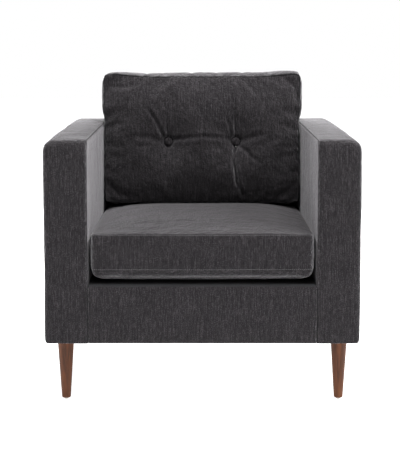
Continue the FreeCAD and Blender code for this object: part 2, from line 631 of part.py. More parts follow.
# ---------------------------------------------------------------- seat cushion
def make_seat_cushion():
    """A foam core wrapped in fibre inside a boxed cover, with a zip along the rear boxing."""
    layers = {"cover": "0", "fibre": "cloth", "core": "cloth + fibre"}
    blocks = {}
    for layer, inset in layers.items():
        blocks[layer] = soft_block(
            f"seat_{layer}_block",
            (f"({inset}) - seat_w / 2", f"({inset}) - seat_front", f"{SEAT_LOW} + {inset}"),
            (f"seat_w / 2 - ({inset})", f"seat_back - ({inset})", f"seat_top - ({inset})"),
            [((), None, f"seat_round - ({inset})")])
    middle_z = f"(({SEAT_LOW} + seat_top) / 2)"
    tape_low = ("seat_zip_in - seat_w / 2", "seat_back - cloth", f"{middle_z} - zip_w / 2")
    tape_high = ("seat_w / 2 - seat_zip_in", "seat_back", f"{middle_z} + zip_w / 2")
    skin = cut("seat_cover_skin", blocks["cover"], blocks["fibre"])
    node(cut("seat_cushion_cover", skin, box("seat_zip_opening", tape_low, tape_high)), "seat_cushion_cover")
    node(cut("seat_cushion_fibre", blocks["fibre"], blocks["core"]), "seat_cushion_fibre")
    node(blocks["core"], "seat_cushion_foam")
    node(box("seat_zip_tape", tape_low, tape_high), "seat_zip_tape")
    slider = zip_slider("seat_zip_slider")
    place(slider, "seat_w / 2 - seat_zip_in - slider_in", "seat_back + rest_gap + slider_t", middle_z,
          ((1, 0, 0), 90))
    node(slider, "seat_zip_slider")


# ---------------------------------------------------------------- back cushion
def pillow_block(name, inset):
    """The back cushion's block, in its own frame: X across, -Y forward, Z up, from its lower rear edge."""
    half = f"(pillow_w / 2 - {inset})"
    wide = f"(pillow_wide / 2 - {inset})"
    high = f"(pillow_h - {inset})"
    widened = "shoulder + shoulder_h"
    body = DOC.addObject("PartDesign::Body", name)
    pad = body.newObject("PartDesign::Pad", f"{name}_pad")
    pad.Profile = outline(body, "XZ_Plane", [
        (f"-{half}", inset), (half, inset), (half, "shoulder"), (wide, widened), (wide, high),
        (f"-{wide}", high), (f"-{wide}", widened), (f"-{half}", "shoulder")])
    bind(pad, "Length", f"pillow_t - 2 * {inset}")
    radius = f"pillow_round - {inset}"
    round_edges(body, [(("+z", "+x"), None, radius), (("+z", "-x"), None, radius)])
    return place(body, y=f"-{inset}")


def tufts(name, grow):
    """The dimples round the buttons, front and rear, each grown by a thickness of cloth."""
    lead = 1
    tools = []
    for side in ("-", ""):
        label = "left" if side else "right"
        dimple = turned(f"{name}_front_{label}", [
            ("0", f"-{lead}"), (f"tuft_r + {grow} + {lead}", f"-{lead}"),
            (f"button_r + button_gap + {grow}", f"tuft + {grow}"), ("0", f"tuft + {grow}")])
        tools.append(place(dimple, f"{side}button_x", "-pillow_t", "button_u", ((1, 0, 0), -90)))
        pit = turned(f"{name}_rear_{label}", [
            ("0", f"-{lead}"), (f"button_r + rear_tuft_w + {grow}", f"-{lead}"),
            (f"button_r + button_gap + {grow}", f"rear_tuft + {grow}"), ("0", f"rear_tuft + {grow}")])
        tools.append(place(pit, f"{side}button_x", "0", "button_u", ((1, 0, 0), 90)))
    return group(name, tools)


def make_back_cushion():
    """A fibre-filled boxed cushion tied through by two pairs of covered buttons, zipped along its bottom."""
    outer = cut("pillow_outer", pillow_block("pillow_outer_block", "0"), tufts("outer_tufts", "0"))
    inner = cut("pillow_inner", pillow_block("pillow_inner_block", "cloth"), tufts("inner_tufts", "cloth"))
    twine_length = "(pillow_t - tuft - rear_tuft)"
    holes = []
    twines = []
    front_buttons = []
    rear_buttons = []
    for side in ("-", ""):
        label = "left" if side else "right"
        hole = rod(f"twine_hole_{label}", "twine_r + thread_gap", "pillow_t", "y")
        holes.append(place(hole, f"{side}button_x", "-pillow_t", "button_u"))
        twine = rod(f"twine_{label}", "twine_r", twine_length, "y")
        twines.append(place(twine, f"{side}button_x", "tuft - pillow_t", "button_u"))
        button = turned(f"front_button_{label}", [
            ("0", "0"), ("button_r * 0.91", "0"), ("button_r", "button_h * 0.23"),
            ("button_r * 0.91", "button_h * 0.61"), ("button_r * 0.6", "button_h * 0.91"),
            ("0", "button_h")])
        place(button, f"{side}button_x", "tuft - pillow_t", "button_u", ((1, 0, 0), 90))
        front_buttons.append(button)
        back_button = turned(f"rear_button_{label}", [
            ("0", "0"), ("button_r", "0"), ("button_r", "rear_button_h * 0.4"),
            ("button_r * 0.82", "rear_button_h * 0.92"), ("0", "rear_button_h")])
        place(back_button, f"{side}button_x", "-rear_tuft", "button_u", ((1, 0, 0), -90))
        rear_buttons.append(back_button)
    hole_tool = group("twine_holes", holes)
    tape_low = ("back_zip_in - pillow_w / 2", "-zip_in - zip_w / 2", "0")
    tape_high = ("pillow_w / 2 - back_zip_in", "zip_w / 2 - zip_in", "cloth")
    skin = cut("pillow_skin", cut("pillow_shell", outer, inner), hole_tool)
    zip_opening = box("pillow_zip_opening", tape_low, tape_high)
    pieces = {
        "back_cushion_cover": cut("back_cushion_cover", skin, zip_opening),
        "back_cushion_fill": cut("back_cushion_fill", inner, hole_tool),
        "back_front_buttons": group("back_front_buttons", front_buttons),
        "back_rear_buttons": group("back_rear_buttons", rear_buttons),
        "back_button_twines": group("back_button_twines", twines),
        "back_zip_tape": group("back_zip_tape", [box("back_zip_strip", tape_low, tape_high)]),
        "back_zip_slider": group("back_zip_slider", [place(
            zip_slider("back_zip_slider_plate"), "pillow_w / 2 - back_zip_in - slider_in", "-zip_in",
            "-rest_gap - slider_t")]),
    }
    for name, piece in pieces.items():
        node(lean(piece, "0", "-pillow_gap", "pillow_u"), name)


# ---------------------------------------------------------------- build, check and write
def write_parts():
    """Stops at any object that failed, then writes one STEP file for each piece."""
    DOC.recompute()
    for item in DOC.Objects:
        if "Invalid" in item.State or "Error" in item.State:
            raise RuntimeError(f"{item.Name} failed: {item.State}")
    for piece in NODES:
        shape = piece.Shape
        if shape.isNull() or not shape.isValid() or not shape.Solids:
            raise RuntimeError(f"{piece.Label} has no valid solid")
        shape.exportStep(os.path.join("parts", f"{piece.Label}.step"))
        print(f"{piece.Label}: {len(shape.Solids)} solid(s), {shape.Volume / 1000:.1f} cm3")
    print(f"{len(NODES)} pieces")


make_seat_box(make_arms())
make_suspension()
make_front_border()
make_back()
make_underside()
make_seat_cushion()
make_back_cushion()
write_parts()
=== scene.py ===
"""Looks of a box-arm upholstered armchair: fitted covers, simulated cushions, seams, buttons and materials.

Metres, in the CAD's frame: +X to the right of someone looking at the front, +Y to the back, +Z up.
"""
import json
import math
import bpy
import numpy as np
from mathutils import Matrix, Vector
from mathutils.bvhtree import BVHTree


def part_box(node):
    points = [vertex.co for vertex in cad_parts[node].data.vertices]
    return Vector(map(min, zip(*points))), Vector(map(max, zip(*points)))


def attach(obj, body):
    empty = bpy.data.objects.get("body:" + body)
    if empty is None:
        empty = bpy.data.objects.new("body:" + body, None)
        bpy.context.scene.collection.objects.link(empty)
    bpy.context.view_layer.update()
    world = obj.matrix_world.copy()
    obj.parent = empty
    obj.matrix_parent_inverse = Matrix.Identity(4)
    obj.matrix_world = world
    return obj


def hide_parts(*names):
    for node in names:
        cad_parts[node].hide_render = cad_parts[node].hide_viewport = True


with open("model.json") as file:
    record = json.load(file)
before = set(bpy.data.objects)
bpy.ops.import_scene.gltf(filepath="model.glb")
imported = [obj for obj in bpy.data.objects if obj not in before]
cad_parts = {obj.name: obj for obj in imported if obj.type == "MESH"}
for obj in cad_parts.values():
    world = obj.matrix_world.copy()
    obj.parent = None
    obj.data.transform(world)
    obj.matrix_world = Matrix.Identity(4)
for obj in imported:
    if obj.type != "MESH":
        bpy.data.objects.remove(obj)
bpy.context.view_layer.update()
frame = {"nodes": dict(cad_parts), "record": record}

SCENE = bpy.context.scene
CLOTH = 0.0015
EDGE = (0.003, 0.008)


def box(node):
    """The low and high corners of a CAD node, as arrays."""
    return [np.array(corner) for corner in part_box(node)]


def upto(value, full):
    """How far the value has come on its way from 0 to full, from 0 to 1."""
    return np.clip(value / full, 0, 1)


def eased(part):
    """A share from 0 to 1, starting and ending gently."""
    return part * part * (3 - 2 * part)


# ---------------------------------------------------------------- meshes
def spread(low, high, step, edge=()):
    """Coordinates from low to high about a step apart, with extra ones at the edge distances."""
    start = low + edge[-1] if edge else low
    stop = high - edge[-1] if edge else high
    count = max(1, round((stop - start) / step))
    middle = list(np.linspace(start, stop, count + 1))
    if not edge:
        return np.array(middle)
    near = [low] + [low + gap for gap in edge[:-1]]
    far = [high - gap for gap in reversed(edge[:-1])] + [high]
    return np.array(near + middle + far)


SIDE_SHIFT = 0.37


class Skin:
    """A block's surface as a lattice: its points, quads, each quad's side and each point's place."""

    def __init__(self, xs, ys, zs, skip=(), ribs_turned=()):
        axes = [np.asarray(values) for values in (xs, ys, zs)]
        self.last = np.array([len(values) - 1 for values in axes])
        number = {}
        self.quads = []
        self.sides = []
        for axis in range(3):
            first, second = [other for other in range(3) if other != axis]
            for end in (0, 1):
                side = "-+"[end] + "xyz"[axis]
                if side in skip:
                    continue
                backwards = (end == 0) != (axis == 1)
                for i in range(self.last[first]):
                    for j in range(self.last[second]):
                        quad = []
                        for a, b in ((0, 0), (1, 0), (1, 1), (0, 1)):
                            place = [0, 0, 0]
                            place[axis] = int(self.last[axis] * end)
                            place[first] = i + a
                            place[second] = j + b
                            quad.append(number.setdefault(tuple(place), len(number)))
                        self.quads.append(quad[::-1] if backwards else quad)
                        self.sides.append(side)
        self.places = np.array(list(number))
        self.points = np.stack([axes[a][self.places[:, a]] for a in range(3)], axis=1)
        self.flat = self.points.copy()
        low = self.flat.min(axis=0)
        size = np.ptp(self.flat, axis=0)
        self.share = (self.flat - low) / np.where(size > 0, size, 1)
        self.ribs_turned = ribs_turned

    def at(self, axis, end):
        """Which points are on a side of the lattice."""
        return self.places[:, axis] == (self.last[axis] if end > 0 else 0)

    def on(self, axis, end):
        """Which points are well inside a side: not on its border."""
        inside = self.at(axis, end)
        for other in range(3):
            if other != axis:
                inside = inside & ~self.at(other, 1) & ~self.at(other, -1)
        return inside

    def drop(self, unwanted):
        """Leaves out the quads for which unwanted(side, middle of its flat place) is true."""
        kept = [(side, quad) for side, quad in zip(self.sides, self.quads)
                if not unwanted(side, self.flat[quad].mean(axis=0))]
        used = sorted({index for _, quad in kept for index in quad})
        renumber = {index: place for place, index in enumerate(used)}
        self.sides = [side for side, _ in kept]
        self.quads = [[renumber[index] for index in quad] for _, quad in kept]
        for field in ("points", "flat", "share", "places"):
            setattr(self, field, getattr(self, field)[used])

    def round(self, a, b, sign_a, sign_b, radius, weight=1.0):
        """Rounds the edge where the block ends on axis a and on axis b, less where the weight is under 1."""
        corner_a = self.flat[:, a].max() if sign_a > 0 else self.flat[:, a].min()
        corner_b = self.flat[:, b].max() if sign_b > 0 else self.flat[:, b].min()
        s = (self.points[:, a] - corner_a) * sign_a + radius
        t = (self.points[:, b] - corner_b) * sign_b + radius
        zone = (s > 0) & (t > 0)
        s, t = s[zone], t[zone]
        weight = np.broadcast_to(weight, len(zone))[zone]
        reach = np.maximum(s, t)
        angle = np.where(s >= t, t / np.maximum(s, 1e-9), 2 - s / np.maximum(t, 1e-9)) * math.pi / 4
        self.points[zone, a] += weight * sign_a * (reach * np.cos(angle) - s)
        self.points[zone, b] += weight * sign_b * (reach * np.sin(angle) - t)

    def normals(self):
        """Outward direction at each point."""
        return directions(self.points, self.quads)

    def mirror(self):
        """Turns a right-hand skin into a left-hand one."""
        self.points[:, 0] *= -1
        self.quads = [quad[::-1] for quad in self.quads]

    def dome(self, axes, powers):
        """1 in the middle of the block over some axes, falling to 0 at its edges."""
        rise = np.ones(len(self.points))
        for axis, power in zip(axes, powers):
            rise = rise * (1 - np.abs(2 * self.share[:, axis] - 1) ** power)
        return rise

    def crown(self, heights, power=3.0):
        """Swells each named side outwards: heights is {side: height at its middle}."""
        out = self.normals()
        for side, height in heights.items():
            axis = "xyz".index(side[1])
            sign = 1 if side[0] == "+" else -1
            facing = np.clip(out[:, axis] * sign, 0, 1) ** 2
            swell = self.dome([other for other in range(3) if other != axis], (power, power))
            self.points = self.points + out * (facing * swell * height)[:, None]

    def uvs(self):
        """Fabric coordinates of each quad's corners: (across the ribs, along the ribs), in metres."""
        chosen = {"x": (1, 2), "y": (0, 2), "z": (0, 1)}
        rows = []
        for side, quad in zip(self.sides, self.quads):
            across, along = chosen[side[1]]
            if side in self.ribs_turned:
                across, along = along, across
            rows.append(np.stack([self.flat[quad, across] + SIDE_SHIFT * "xyz".index(side[1]),
                                  self.flat[quad, along]], axis=1))
        return np.concatenate(rows)

    def piece(self, name):
        """The skin as a mesh piece."""
        return build(name, self.points, self.quads, self.uvs())


def directions(points, quads):
    """Outward direction at each point of a mesh of quads."""
    faces = np.asarray(quads)
    corners = points[faces]
    facing = np.cross(corners[:, 2] - corners[:, 0], corners[:, 3] - corners[:, 1])
    out = np.zeros_like(points)
    for corner in range(4):
        np.add.at(out, faces[:, corner], facing)
    return out / np.maximum(np.linalg.norm(out, axis=1, keepdims=True), 1e-12)


def ripple(points, size, seed):
    """Smooth noise from -1 to 1 at each point, with swells about as large as size."""
    cells = 16
    table = np.random.default_rng(seed).uniform(-1, 1, (cells, cells, cells))
    cell = np.asarray(points) / np.asarray(size) + 2.5 * cells
    low = np.floor(cell).astype(int)
    part = eased(cell - low)
    total = np.zeros(len(cell))
    for dx in (0, 1):
        for dy in (0, 1):
            for dz in (0, 1):
                weight = np.prod(np.abs(1 - np.array((dx, dy, dz)) - part), axis=1)
                total += weight * table[tuple(((low + (dx, dy, dz)) % cells).T)]
    return total


def build(name, points, faces, uvs=None):
    """A smooth-shaded mesh piece from points, faces and fabric coordinates."""
    mesh = bpy.data.meshes.new(name)
    mesh.from_pydata(np.asarray(points).tolist(), [], [list(map(int, face)) for face in faces])
    if uvs is not None:
        mesh.uv_layers.new(name="weave").data.foreach_set("uv", np.asarray(uvs, dtype=np.float32).ravel())
    mesh.polygons.foreach_set("use_smooth", [True] * len(mesh.polygons))
    mesh.update()
    return add_object(name, mesh)


def points_of(mesh):
    """A mesh's points as rows of coordinates."""
    flat = np.empty(len(mesh.vertices) * 3, dtype=np.float64)
    mesh.vertices.foreach_get("co", flat)
    return flat.reshape(-1, 3)


def add_object(name, data):
    """A new object in the scene that holds the data."""
    made = bpy.data.objects.new(name, data)
    SCENE.collection.objects.link(made)
    return made


def evaluated(piece):
    """The piece's mesh with its modifiers applied."""
    graph = bpy.context.evaluated_depsgraph_get()
    return bpy.data.meshes.new_from_object(
        piece.evaluated_get(graph), preserve_all_data_layers=True, depsgraph=graph)


def settle(piece):
    """Applies the piece's modifiers to its mesh."""
    mesh = evaluated(piece)
    old = piece.data
    piece.modifiers.clear()
    piece.data = mesh
    bpy.data.meshes.remove(old)
    mesh.name = piece.name
    return piece


def smoother(piece):
    """Subdivides the piece and applies the result."""
    modifier = piece.modifiers.new("smoother", "SUBSURF")
    modifier.levels = modifier.render_levels = 1
    return settle(piece)


def thicken(piece, depth):
    """Gives an open skin a thickness, inwards."""
    modifier = piece.modifiers.new("thickness", "SOLIDIFY")
    modifier.thickness = depth
    modifier.offset = -1
    modifier.use_even_offset = False
    return settle(piece)


def joined(name, parts):
    """One mesh piece from (points, faces) parts."""
    faces = []
    start = 0
    for points, part_faces in parts:
        faces += [[index + start for index in face] for face in part_faces]
        start += len(points)
    return build(name, np.concatenate([points for points, _ in parts]), faces)


# ---------------------------------------------------------------- cloth simulation
def inflate(skin, held, pressure, growth, frames, reach):
    """Blows a skin up by cloth simulation. Held points stay, and no point moves further than its reach."""
    piece = build("blown", skin.points, skin.quads)
    group = piece.vertex_groups.new(name="held")
    group.add([int(index) for index in np.nonzero(held)[0]], 1.0, "REPLACE")
    cloth = piece.modifiers.new("cloth", "CLOTH")
    settings = {"quality": 6, "mass": 0.3, "tension_stiffness": 15.0, "compression_stiffness": 15.0,
                "shear_stiffness": 5.0, "bending_stiffness": 0.6, "use_pressure": True,
                "uniform_pressure_force": pressure, "vertex_group_mass": "held", "shrink_min": -growth}
    for field, value in settings.items():
        setattr(cloth.settings, field, value)
    cloth.settings.effector_weights.gravity = 0
    cloth.collision_settings.use_collision = False
    cloth.point_cache.frame_start = 1
    cloth.point_cache.frame_end = frames
    for number in range(1, frames + 1):
        SCENE.frame_set(number)
    mesh = evaluated(piece)
    moved = points_of(mesh) - skin.points
    bpy.data.meshes.remove(mesh)
    data = piece.data
    bpy.data.objects.remove(piece)
    bpy.data.meshes.remove(data)
    SCENE.frame_set(1)
    far = np.linalg.norm(moved, axis=1, keepdims=True)
    reach = np.broadcast_to(reach, len(far))[:, None]
    skin.points = skin.points + moved * (reach * np.tanh(far / reach) / np.maximum(far, 1e-9))


# ---------------------------------------------------------------- sewing
def walk(path, step):
    """Points about a step apart along a path, with the direction at each."""
    path = np.asarray(path, dtype=float)
    length = np.concatenate([[0], np.cumsum(np.linalg.norm(np.diff(path, axis=0), axis=1))])
    count = max(2, int(length[-1] / step))
    places = (np.arange(count) + 0.5) * length[-1] / count
    probe = 0.002
    spots, ahead, behind = (
        np.stack([np.interp(places + shift, length, path[:, axis]) for axis in range(3)], axis=1)
        for shift in (0, probe, -probe))
    way = ahead - behind
    return spots, way / np.maximum(np.linalg.norm(way, axis=1, keepdims=True), 1e-9)


def tube(rings, sides, closed=False):
    """The faces of a tube of rings of points. It has two caps at the end of the list unless it is closed."""
    faces = []
    for ring in range(rings if closed else rings - 1):
        here, there = ring * sides, (ring + 1) % rings * sides
        for turn in range(sides):
            after = (turn + 1) % sides
            faces.append([here + turn, here + after, there + after, there + turn])
    if not closed:
        faces.append(list(range(sides - 1, -1, -1)))
        faces.append([(rings - 1) * sides + turn for turn in range(sides)])
    return faces


# rings of a stitch: place along its length, lift in radii, width in radii
STITCH_RINGS = ((-0.5, -0.9, 0.35), (-0.3, 0.15, 0.9), (0.0, 0.45, 1.0), (0.3, 0.15, 0.9), (0.5, -0.9, 0.35))
STITCH_SIDES = 5
SEAM_SIDES = 6
SEAM_STEP = 0.006
SKEW = (0.31, 0.52, 0.79)


def circle(middle, first, second, radius, count):
    """Points round a middle, from the first direction towards the second."""
    angles = 2 * math.pi * np.arange(count) / count
    return middle + radius * (np.outer(np.cos(angles), first) + np.outer(np.sin(angles), second))


def bead(start, along, out, length, radius):
    """One stitch: a thread that dips into the cloth at both ends."""
    side = np.cross(along, out)
    rings = [circle(start + along * place * length + out * lift * radius, side, out, radius * width,
                    STITCH_SIDES) for place, lift, width in STITCH_RINGS]
    return np.concatenate(rings), tube(len(STITCH_RINGS), STITCH_SIDES)


def stitches(name, piece, path, body, pitch=0.0052, length=0.0038, radius=0.00042):
    """A row of stitches along a path, laid on the nearest part of the piece's surface."""
    mesh = piece.data
    tree = BVHTree.FromPolygons([vertex.co for vertex in mesh.vertices],
                                [polygon.vertices for polygon in mesh.polygons])
    spots, ways = walk(path, pitch)
    parts = []
    for spot, way in zip(spots, ways):
        place, normal, _, _ = tree.find_nearest(Vector(spot))
        out = np.array(normal)
        along = way - out * way.dot(out)
        along /= max(np.linalg.norm(along), 1e-9)
        parts.append(bead(np.array(place), along, out, length, radius))
    row = joined(name, parts)
    row.data.materials.append(MATERIALS["thread"])
    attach(row, body)
    return row


def seam_line(name, path, body, radius):
    """The thin line of a sewn seam, along a path that may close on itself: a near-black cord that is the
    seam's thread and painted shade in the seam's groove.
    """
    path = np.asarray(path, dtype=float)
    closed = np.allclose(path[0], path[-1])
    spots, ways = walk(path, SEAM_STEP)
    if not closed:
        spots = np.concatenate([path[:1], spots, path[-1:]])
        ways = np.concatenate([ways[:1], ways, ways[-1:]])
    rings = []
    for spot, way in zip(spots, ways):
        side = np.cross(way, SKEW)
        side /= np.linalg.norm(side)
        rings.append(circle(spot, side, np.cross(side, way), radius, SEAM_SIDES))
    line = build(name, np.concatenate(rings), tube(len(spots), SEAM_SIDES, closed))
    line.data.materials.append(MATERIALS["seam_shade_thread"])
    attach(line, body)


# ---------------------------------------------------------------- materials
class Look:
    """A procedural material under construction: adds nodes and links them."""

    def __init__(self, name):
        self.material = bpy.data.materials.new(name)
        self.material.use_nodes = True
        self.tree = self.material.node_tree
        self.shader = self.tree.nodes["Principled BSDF"]

    def feed(self, socket, value):
        """Links what a node gives to the socket, or sets a plain value on the socket itself."""
        if isinstance(value, bpy.types.NodeSocket):
            self.tree.links.new(value, socket)
        else:
            socket.default_value = value

    def add(self, kind, settings=None, **inputs):
        """A node of a kind with its settings; an input is named, or numbered after a low line."""
        made = self.tree.nodes.new(f"ShaderNode{kind}")
        for field, value in (settings or {}).items():
            setattr(made, field, value)
        for key, value in inputs.items():
            socket = int(key[1:]) if key[0] == "_" else key.replace("_", " ")
            self.feed(made.inputs[socket], value)
        return made.outputs[0]

    def place(self, fabric):
        """Fabric coordinates from the weave map, or coordinates in the frame."""
        if fabric:
            return self.add("UVMap", {"uv_map": "weave"})
        return self.tree.nodes.new("ShaderNodeTexCoord").outputs["Object"]

    def noise(self, place, stretch, detail=2.0, rough=0.5):
        """Noise from 0 to 1, with so many swells in a metre on each axis, or one number for all three."""
        stretch = stretch if isinstance(stretch, tuple) else (stretch,) * 3
        moved = self.add("VectorMath", {"operation": "MULTIPLY"}, _0=place, _1=stretch)
        return self.add("TexNoise", None, Vector=moved, Scale=1.0, Detail=detail, Roughness=rough)

    def math(self, operation, a, b):
        """One sum or product."""
        return self.add("Math", {"operation": operation}, _0=a, _1=b)

    def total(self, *terms):
        """The sum of (value, weight) terms."""
        parts = [self.math("MULTIPLY", value, weight) for value, weight in terms]
        result = parts[0]
        for part in parts[1:]:
            result = self.math("ADD", result, part)
        return result

    def ramp(self, factor, stops):
        """A colour for each place from (position, colour) stops."""
        made = self.tree.nodes.new("ShaderNodeValToRGB")
        elements = made.color_ramp.elements
        while len(elements) < len(stops):
            elements.new(0.5)
        for element, (position, colour) in zip(elements, stops):
            element.position = position
            element.color = (*colour, 1)
        self.tree.links.new(factor, made.inputs[0])
        return made.outputs[0]

    def product(self, first, second):
        """Two colours multiplied."""
        made = self.tree.nodes.new("ShaderNodeMix")
        made.data_type = "RGBA"
        made.blend_type = "MULTIPLY"
        for number, value in ((0, 1.0), (6, first), (7, second)):
            self.feed(made.inputs[number], value)
        return made.outputs[2]

    def bump(self, height, distance, strength=1.0):
        """Lets the height show as relief in the surface."""
        bumped = self.add("Bump", None, Height=height, Distance=distance, Strength=strength)
        self.tree.links.new(bumped, self.shader.inputs["Normal"])

    def finish(self, colour, **sockets):
        """Sets the shader's colour and its other inputs, and returns the material."""
        sockets["Base Color"] = colour
        for key, value in sockets.items():
            self.feed(self.shader.inputs[key.replace("_", " ")], value)
        return self.material


def velvet(name, shine=1.0):
    """Charcoal ribbed chenille: fine ribs and streaks, soft marks in the pile, strong sheen."""
    look = Look(name)
    weave = look.place(True)
    grain = look.noise(weave, (520.0, 420.0, 1.0), 1.0, 0.5)
    ribs = look.noise(weave, (480.0, 60.0, 1.0), 2.0, 0.6)
    streaks = look.noise(weave, (400.0, 13.0, 1.0), 2.0, 0.55)
    pile = look.noise(weave, (150.0, 70.0, 1.0), 2.0, 0.6)
    marks = look.noise(look.place(False), 15.0, 5.0, 0.68)
    mix = look.total((ribs, 0.26), (streaks, 0.24), (grain, 0.38), (pile, 0.12))
    colour = look.ramp(mix, [(0.34, (0.0028, 0.0024, 0.0028)), (0.50, (0.0130, 0.0115, 0.0128)),
                             (0.68, (0.068, 0.062, 0.0665))])
    shade = look.ramp(marks, [(0.25, (0.82, 0.82, 0.82)), (0.75, (1.18, 1.18, 1.18))])
    look.bump(look.total((ribs, 0.25), (grain, 0.3), (pile, 0.9), (marks, 4.2)), 0.0028)
    return look.finish(look.product(colour, shade), Roughness=0.9, Specular_IOR_Level=0.1, Sheen_Weight=shine,
                       Sheen_Roughness=0.42, Sheen_Tint=(0.46, 0.447, 0.465, 1.0))


def plain_cloth(name, dark, light, count=900.0, fabric=True, sheen=0.15):
    """A plain woven cloth: crossed threads with some slubs and fading."""
    look = Look(name)
    place = look.place(fabric)
    warp = look.noise(place, (count, 40.0, 40.0), 2.0)
    weft = look.noise(place, (40.0, count, count), 2.0)
    marks = look.noise(look.place(False), 9.0, 3.0)
    mix = look.total((warp, 0.35), (weft, 0.35), (marks, 0.3))
    look.bump(mix, 0.0005, 0.6)
    return look.finish(look.ramp(mix, [(0.35, dark), (0.65, light)]), Roughness=0.9, Specular_IOR_Level=0.2,
                       Sheen_Weight=sheen, Sheen_Roughness=0.5)


def solid(name, noises, colour, stops, relief, depth, strength, gloss=None, **sockets):
    """A solid material: its noises are (stretch, detail, rough), and colour and relief hold their weights.

    Where gloss is given, as (which noise, least roughness), the roughness follows that noise.
    """
    look = Look(name)
    where = look.place(False)
    made = [look.noise(where, *noise) for noise in noises]
    look.bump(look.total(*(term for term in zip(made, relief) if term[1])), depth, strength)
    if gloss:
        sockets["Roughness"] = look.math("ADD", look.math("MULTIPLY", made[gloss[0]], 0.25), gloss[1])
    tone = look.total(*(term for term in zip(made, colour) if term[1]))
    return look.finish(look.ramp(tone, stops), **sockets)


def timber(name, dark, middle, light, gloss, grain, pores):
    """Wood with stretched grain, pores and a slow change of tone."""
    return solid(name, [(grain, 5.0, 0.62), (pores,), ((11.0, 11.0, 5.0),)], (0.65, 0.15, 0.2),
                 [(0.34, dark), (0.5, middle), (0.68, light)], (0.3, 0.7, 0), 0.0004, 0.5, (1, gloss),
                 Specular_IOR_Level=0.22)


def metal(name, colour, gloss, metallic=1.0):
    """Metal with faint drawing marks and a patchy polish."""
    dull = tuple(value * 0.7 for value in colour)
    return solid(name, [((60.0, 900.0, 900.0),), (45.0, 3.0)], (0, 1), [(0.3, dull), (0.7, colour)], (1, 0),
                 0.0002, 0.4, (1, gloss), Metallic=metallic)


def foam_look(name, dark, light, size):
    """Open foam or loose fibre: a soft matte surface with small cells."""
    return solid(name, [(size, 3.0, 0.7), (12.0,)], (0.7, 0.3), [(0.35, dark), (0.65, light)], (1, 0),
                 0.0008, 0.8, Roughness=0.95, Specular_IOR_Level=0.2)


def floor_look(name):
    """A plain pale studio floor, faintly uneven in tone."""
    look = Look(name)
    tone = look.noise(look.place(False), 1.5)
    colour = look.ramp(tone, [(0.3, (0.93, 0.93, 0.93)), (0.7, (0.96, 0.96, 0.96))])
    return look.finish(colour, Roughness=0.9, Specular_IOR_Level=0.1, Emission_Color=(1, 1, 1, 1),
                       Emission_Strength=0.88)


MATERIALS = {
    "upholstery": velvet("upholstery"),
    # The two copies of the velvet below have less sheen: painted shade on the arms' inner faces, darkest
    # beside the seat cushion, and on the buttons.
    "shaded_inner_fabric": velvet("shaded_inner_fabric", 0.76),
    "painted_shade_fabric": velvet("painted_shade_fabric", 0.3),
    # Dark and without sheen: the deck cloth's own colour, and on the border's top also painted shade in the
    # gap under the seat cushion.
    "deck_fabric": plain_cloth("deck_fabric", (0.008, 0.008, 0.009), (0.032, 0.032, 0.034), sheen=0.0),
    "dust_fabric": plain_cloth("dust_fabric", (0.006, 0.006, 0.006), (0.03, 0.03, 0.03), 500.0),
    "foam": foam_look("foam", (0.62, 0.57, 0.42), (0.84, 0.79, 0.64), 480.0),
    "fibre_fill": foam_look("fibre_fill", (0.7, 0.7, 0.68), (0.92, 0.92, 0.9), 160.0),
    "felt": foam_look("felt", (0.24, 0.24, 0.22), (0.46, 0.46, 0.44), 320.0),
    "webbing": plain_cloth("webbing", (0.025, 0.024, 0.022), (0.12, 0.115, 0.105), 700.0, False),
    "fibreboard": solid("fibreboard", [(240.0, 4.0, 0.7), (8.0,)], (0.75, 0.25),
                        [(0.32, (0.16, 0.1, 0.055)), (0.68, (0.42, 0.29, 0.17))], (1, 0), 0.0003, 0.4,
                        Roughness=0.8, Specular_IOR_Level=0.3),
    "spring_steel": metal("spring_steel", (0.46, 0.46, 0.47), 0.28),
    "zinc_steel": metal("zinc_steel", (0.62, 0.62, 0.6), 0.25),
    "walnut_wood": timber("walnut_wood", (0.022, 0.0066, 0.0023), (0.092, 0.029, 0.0092),
                          (0.165, 0.058, 0.020), 0.42, (70.0, 70.0, 5.0), (420.0, 420.0, 24.0)),
    "frame_wood": timber("frame_wood", (0.33, 0.21, 0.11), (0.52, 0.37, 0.22), (0.66, 0.5, 0.32), 0.6,
                         (70.0, 5.0, 70.0), (420.0, 24.0, 420.0)),
    "clear_plastic": solid("clear_plastic", [(70.0, 3.0), ((900.0, 900.0, 120.0),)], (1, 0),
                           [(0.3, (0.66, 0.65, 0.61)), (0.7, (0.82, 0.81, 0.77))], (0, 1), 0.0002, 0.35,
                           (1, 0.3)),
    "zip_metal": metal("zip_metal", (0.05, 0.05, 0.052), 0.3, 0.6),
    "thread": plain_cloth("thread", (0.07, 0.068, 0.07), (0.18, 0.175, 0.18), 1500.0, False, 0.3),
    # Near-black and almost without sheen: the seams' thread, and painted shade in the seams' grooves.
    "seam_shade_thread": plain_cloth("seam_shade_thread", (0.003, 0.003, 0.0032), (0.012, 0.0115, 0.0125), 1500.0,
                               False, 0.05),
    "floor": floor_look("floor"),
}
SLOT_OF = {row["node"]: row["material_slot"] for row in frame["record"]["subparts"]}


def dress(piece, material, body, *nodes, fill=None):
    """Gives a piece its material, its body and the CAD nodes it stands for. The fill is not used."""
    piece.data.materials.clear()
    piece.data.materials.append(MATERIALS[material])
    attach(piece, body)
    if nodes:
        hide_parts(*nodes)
    return piece


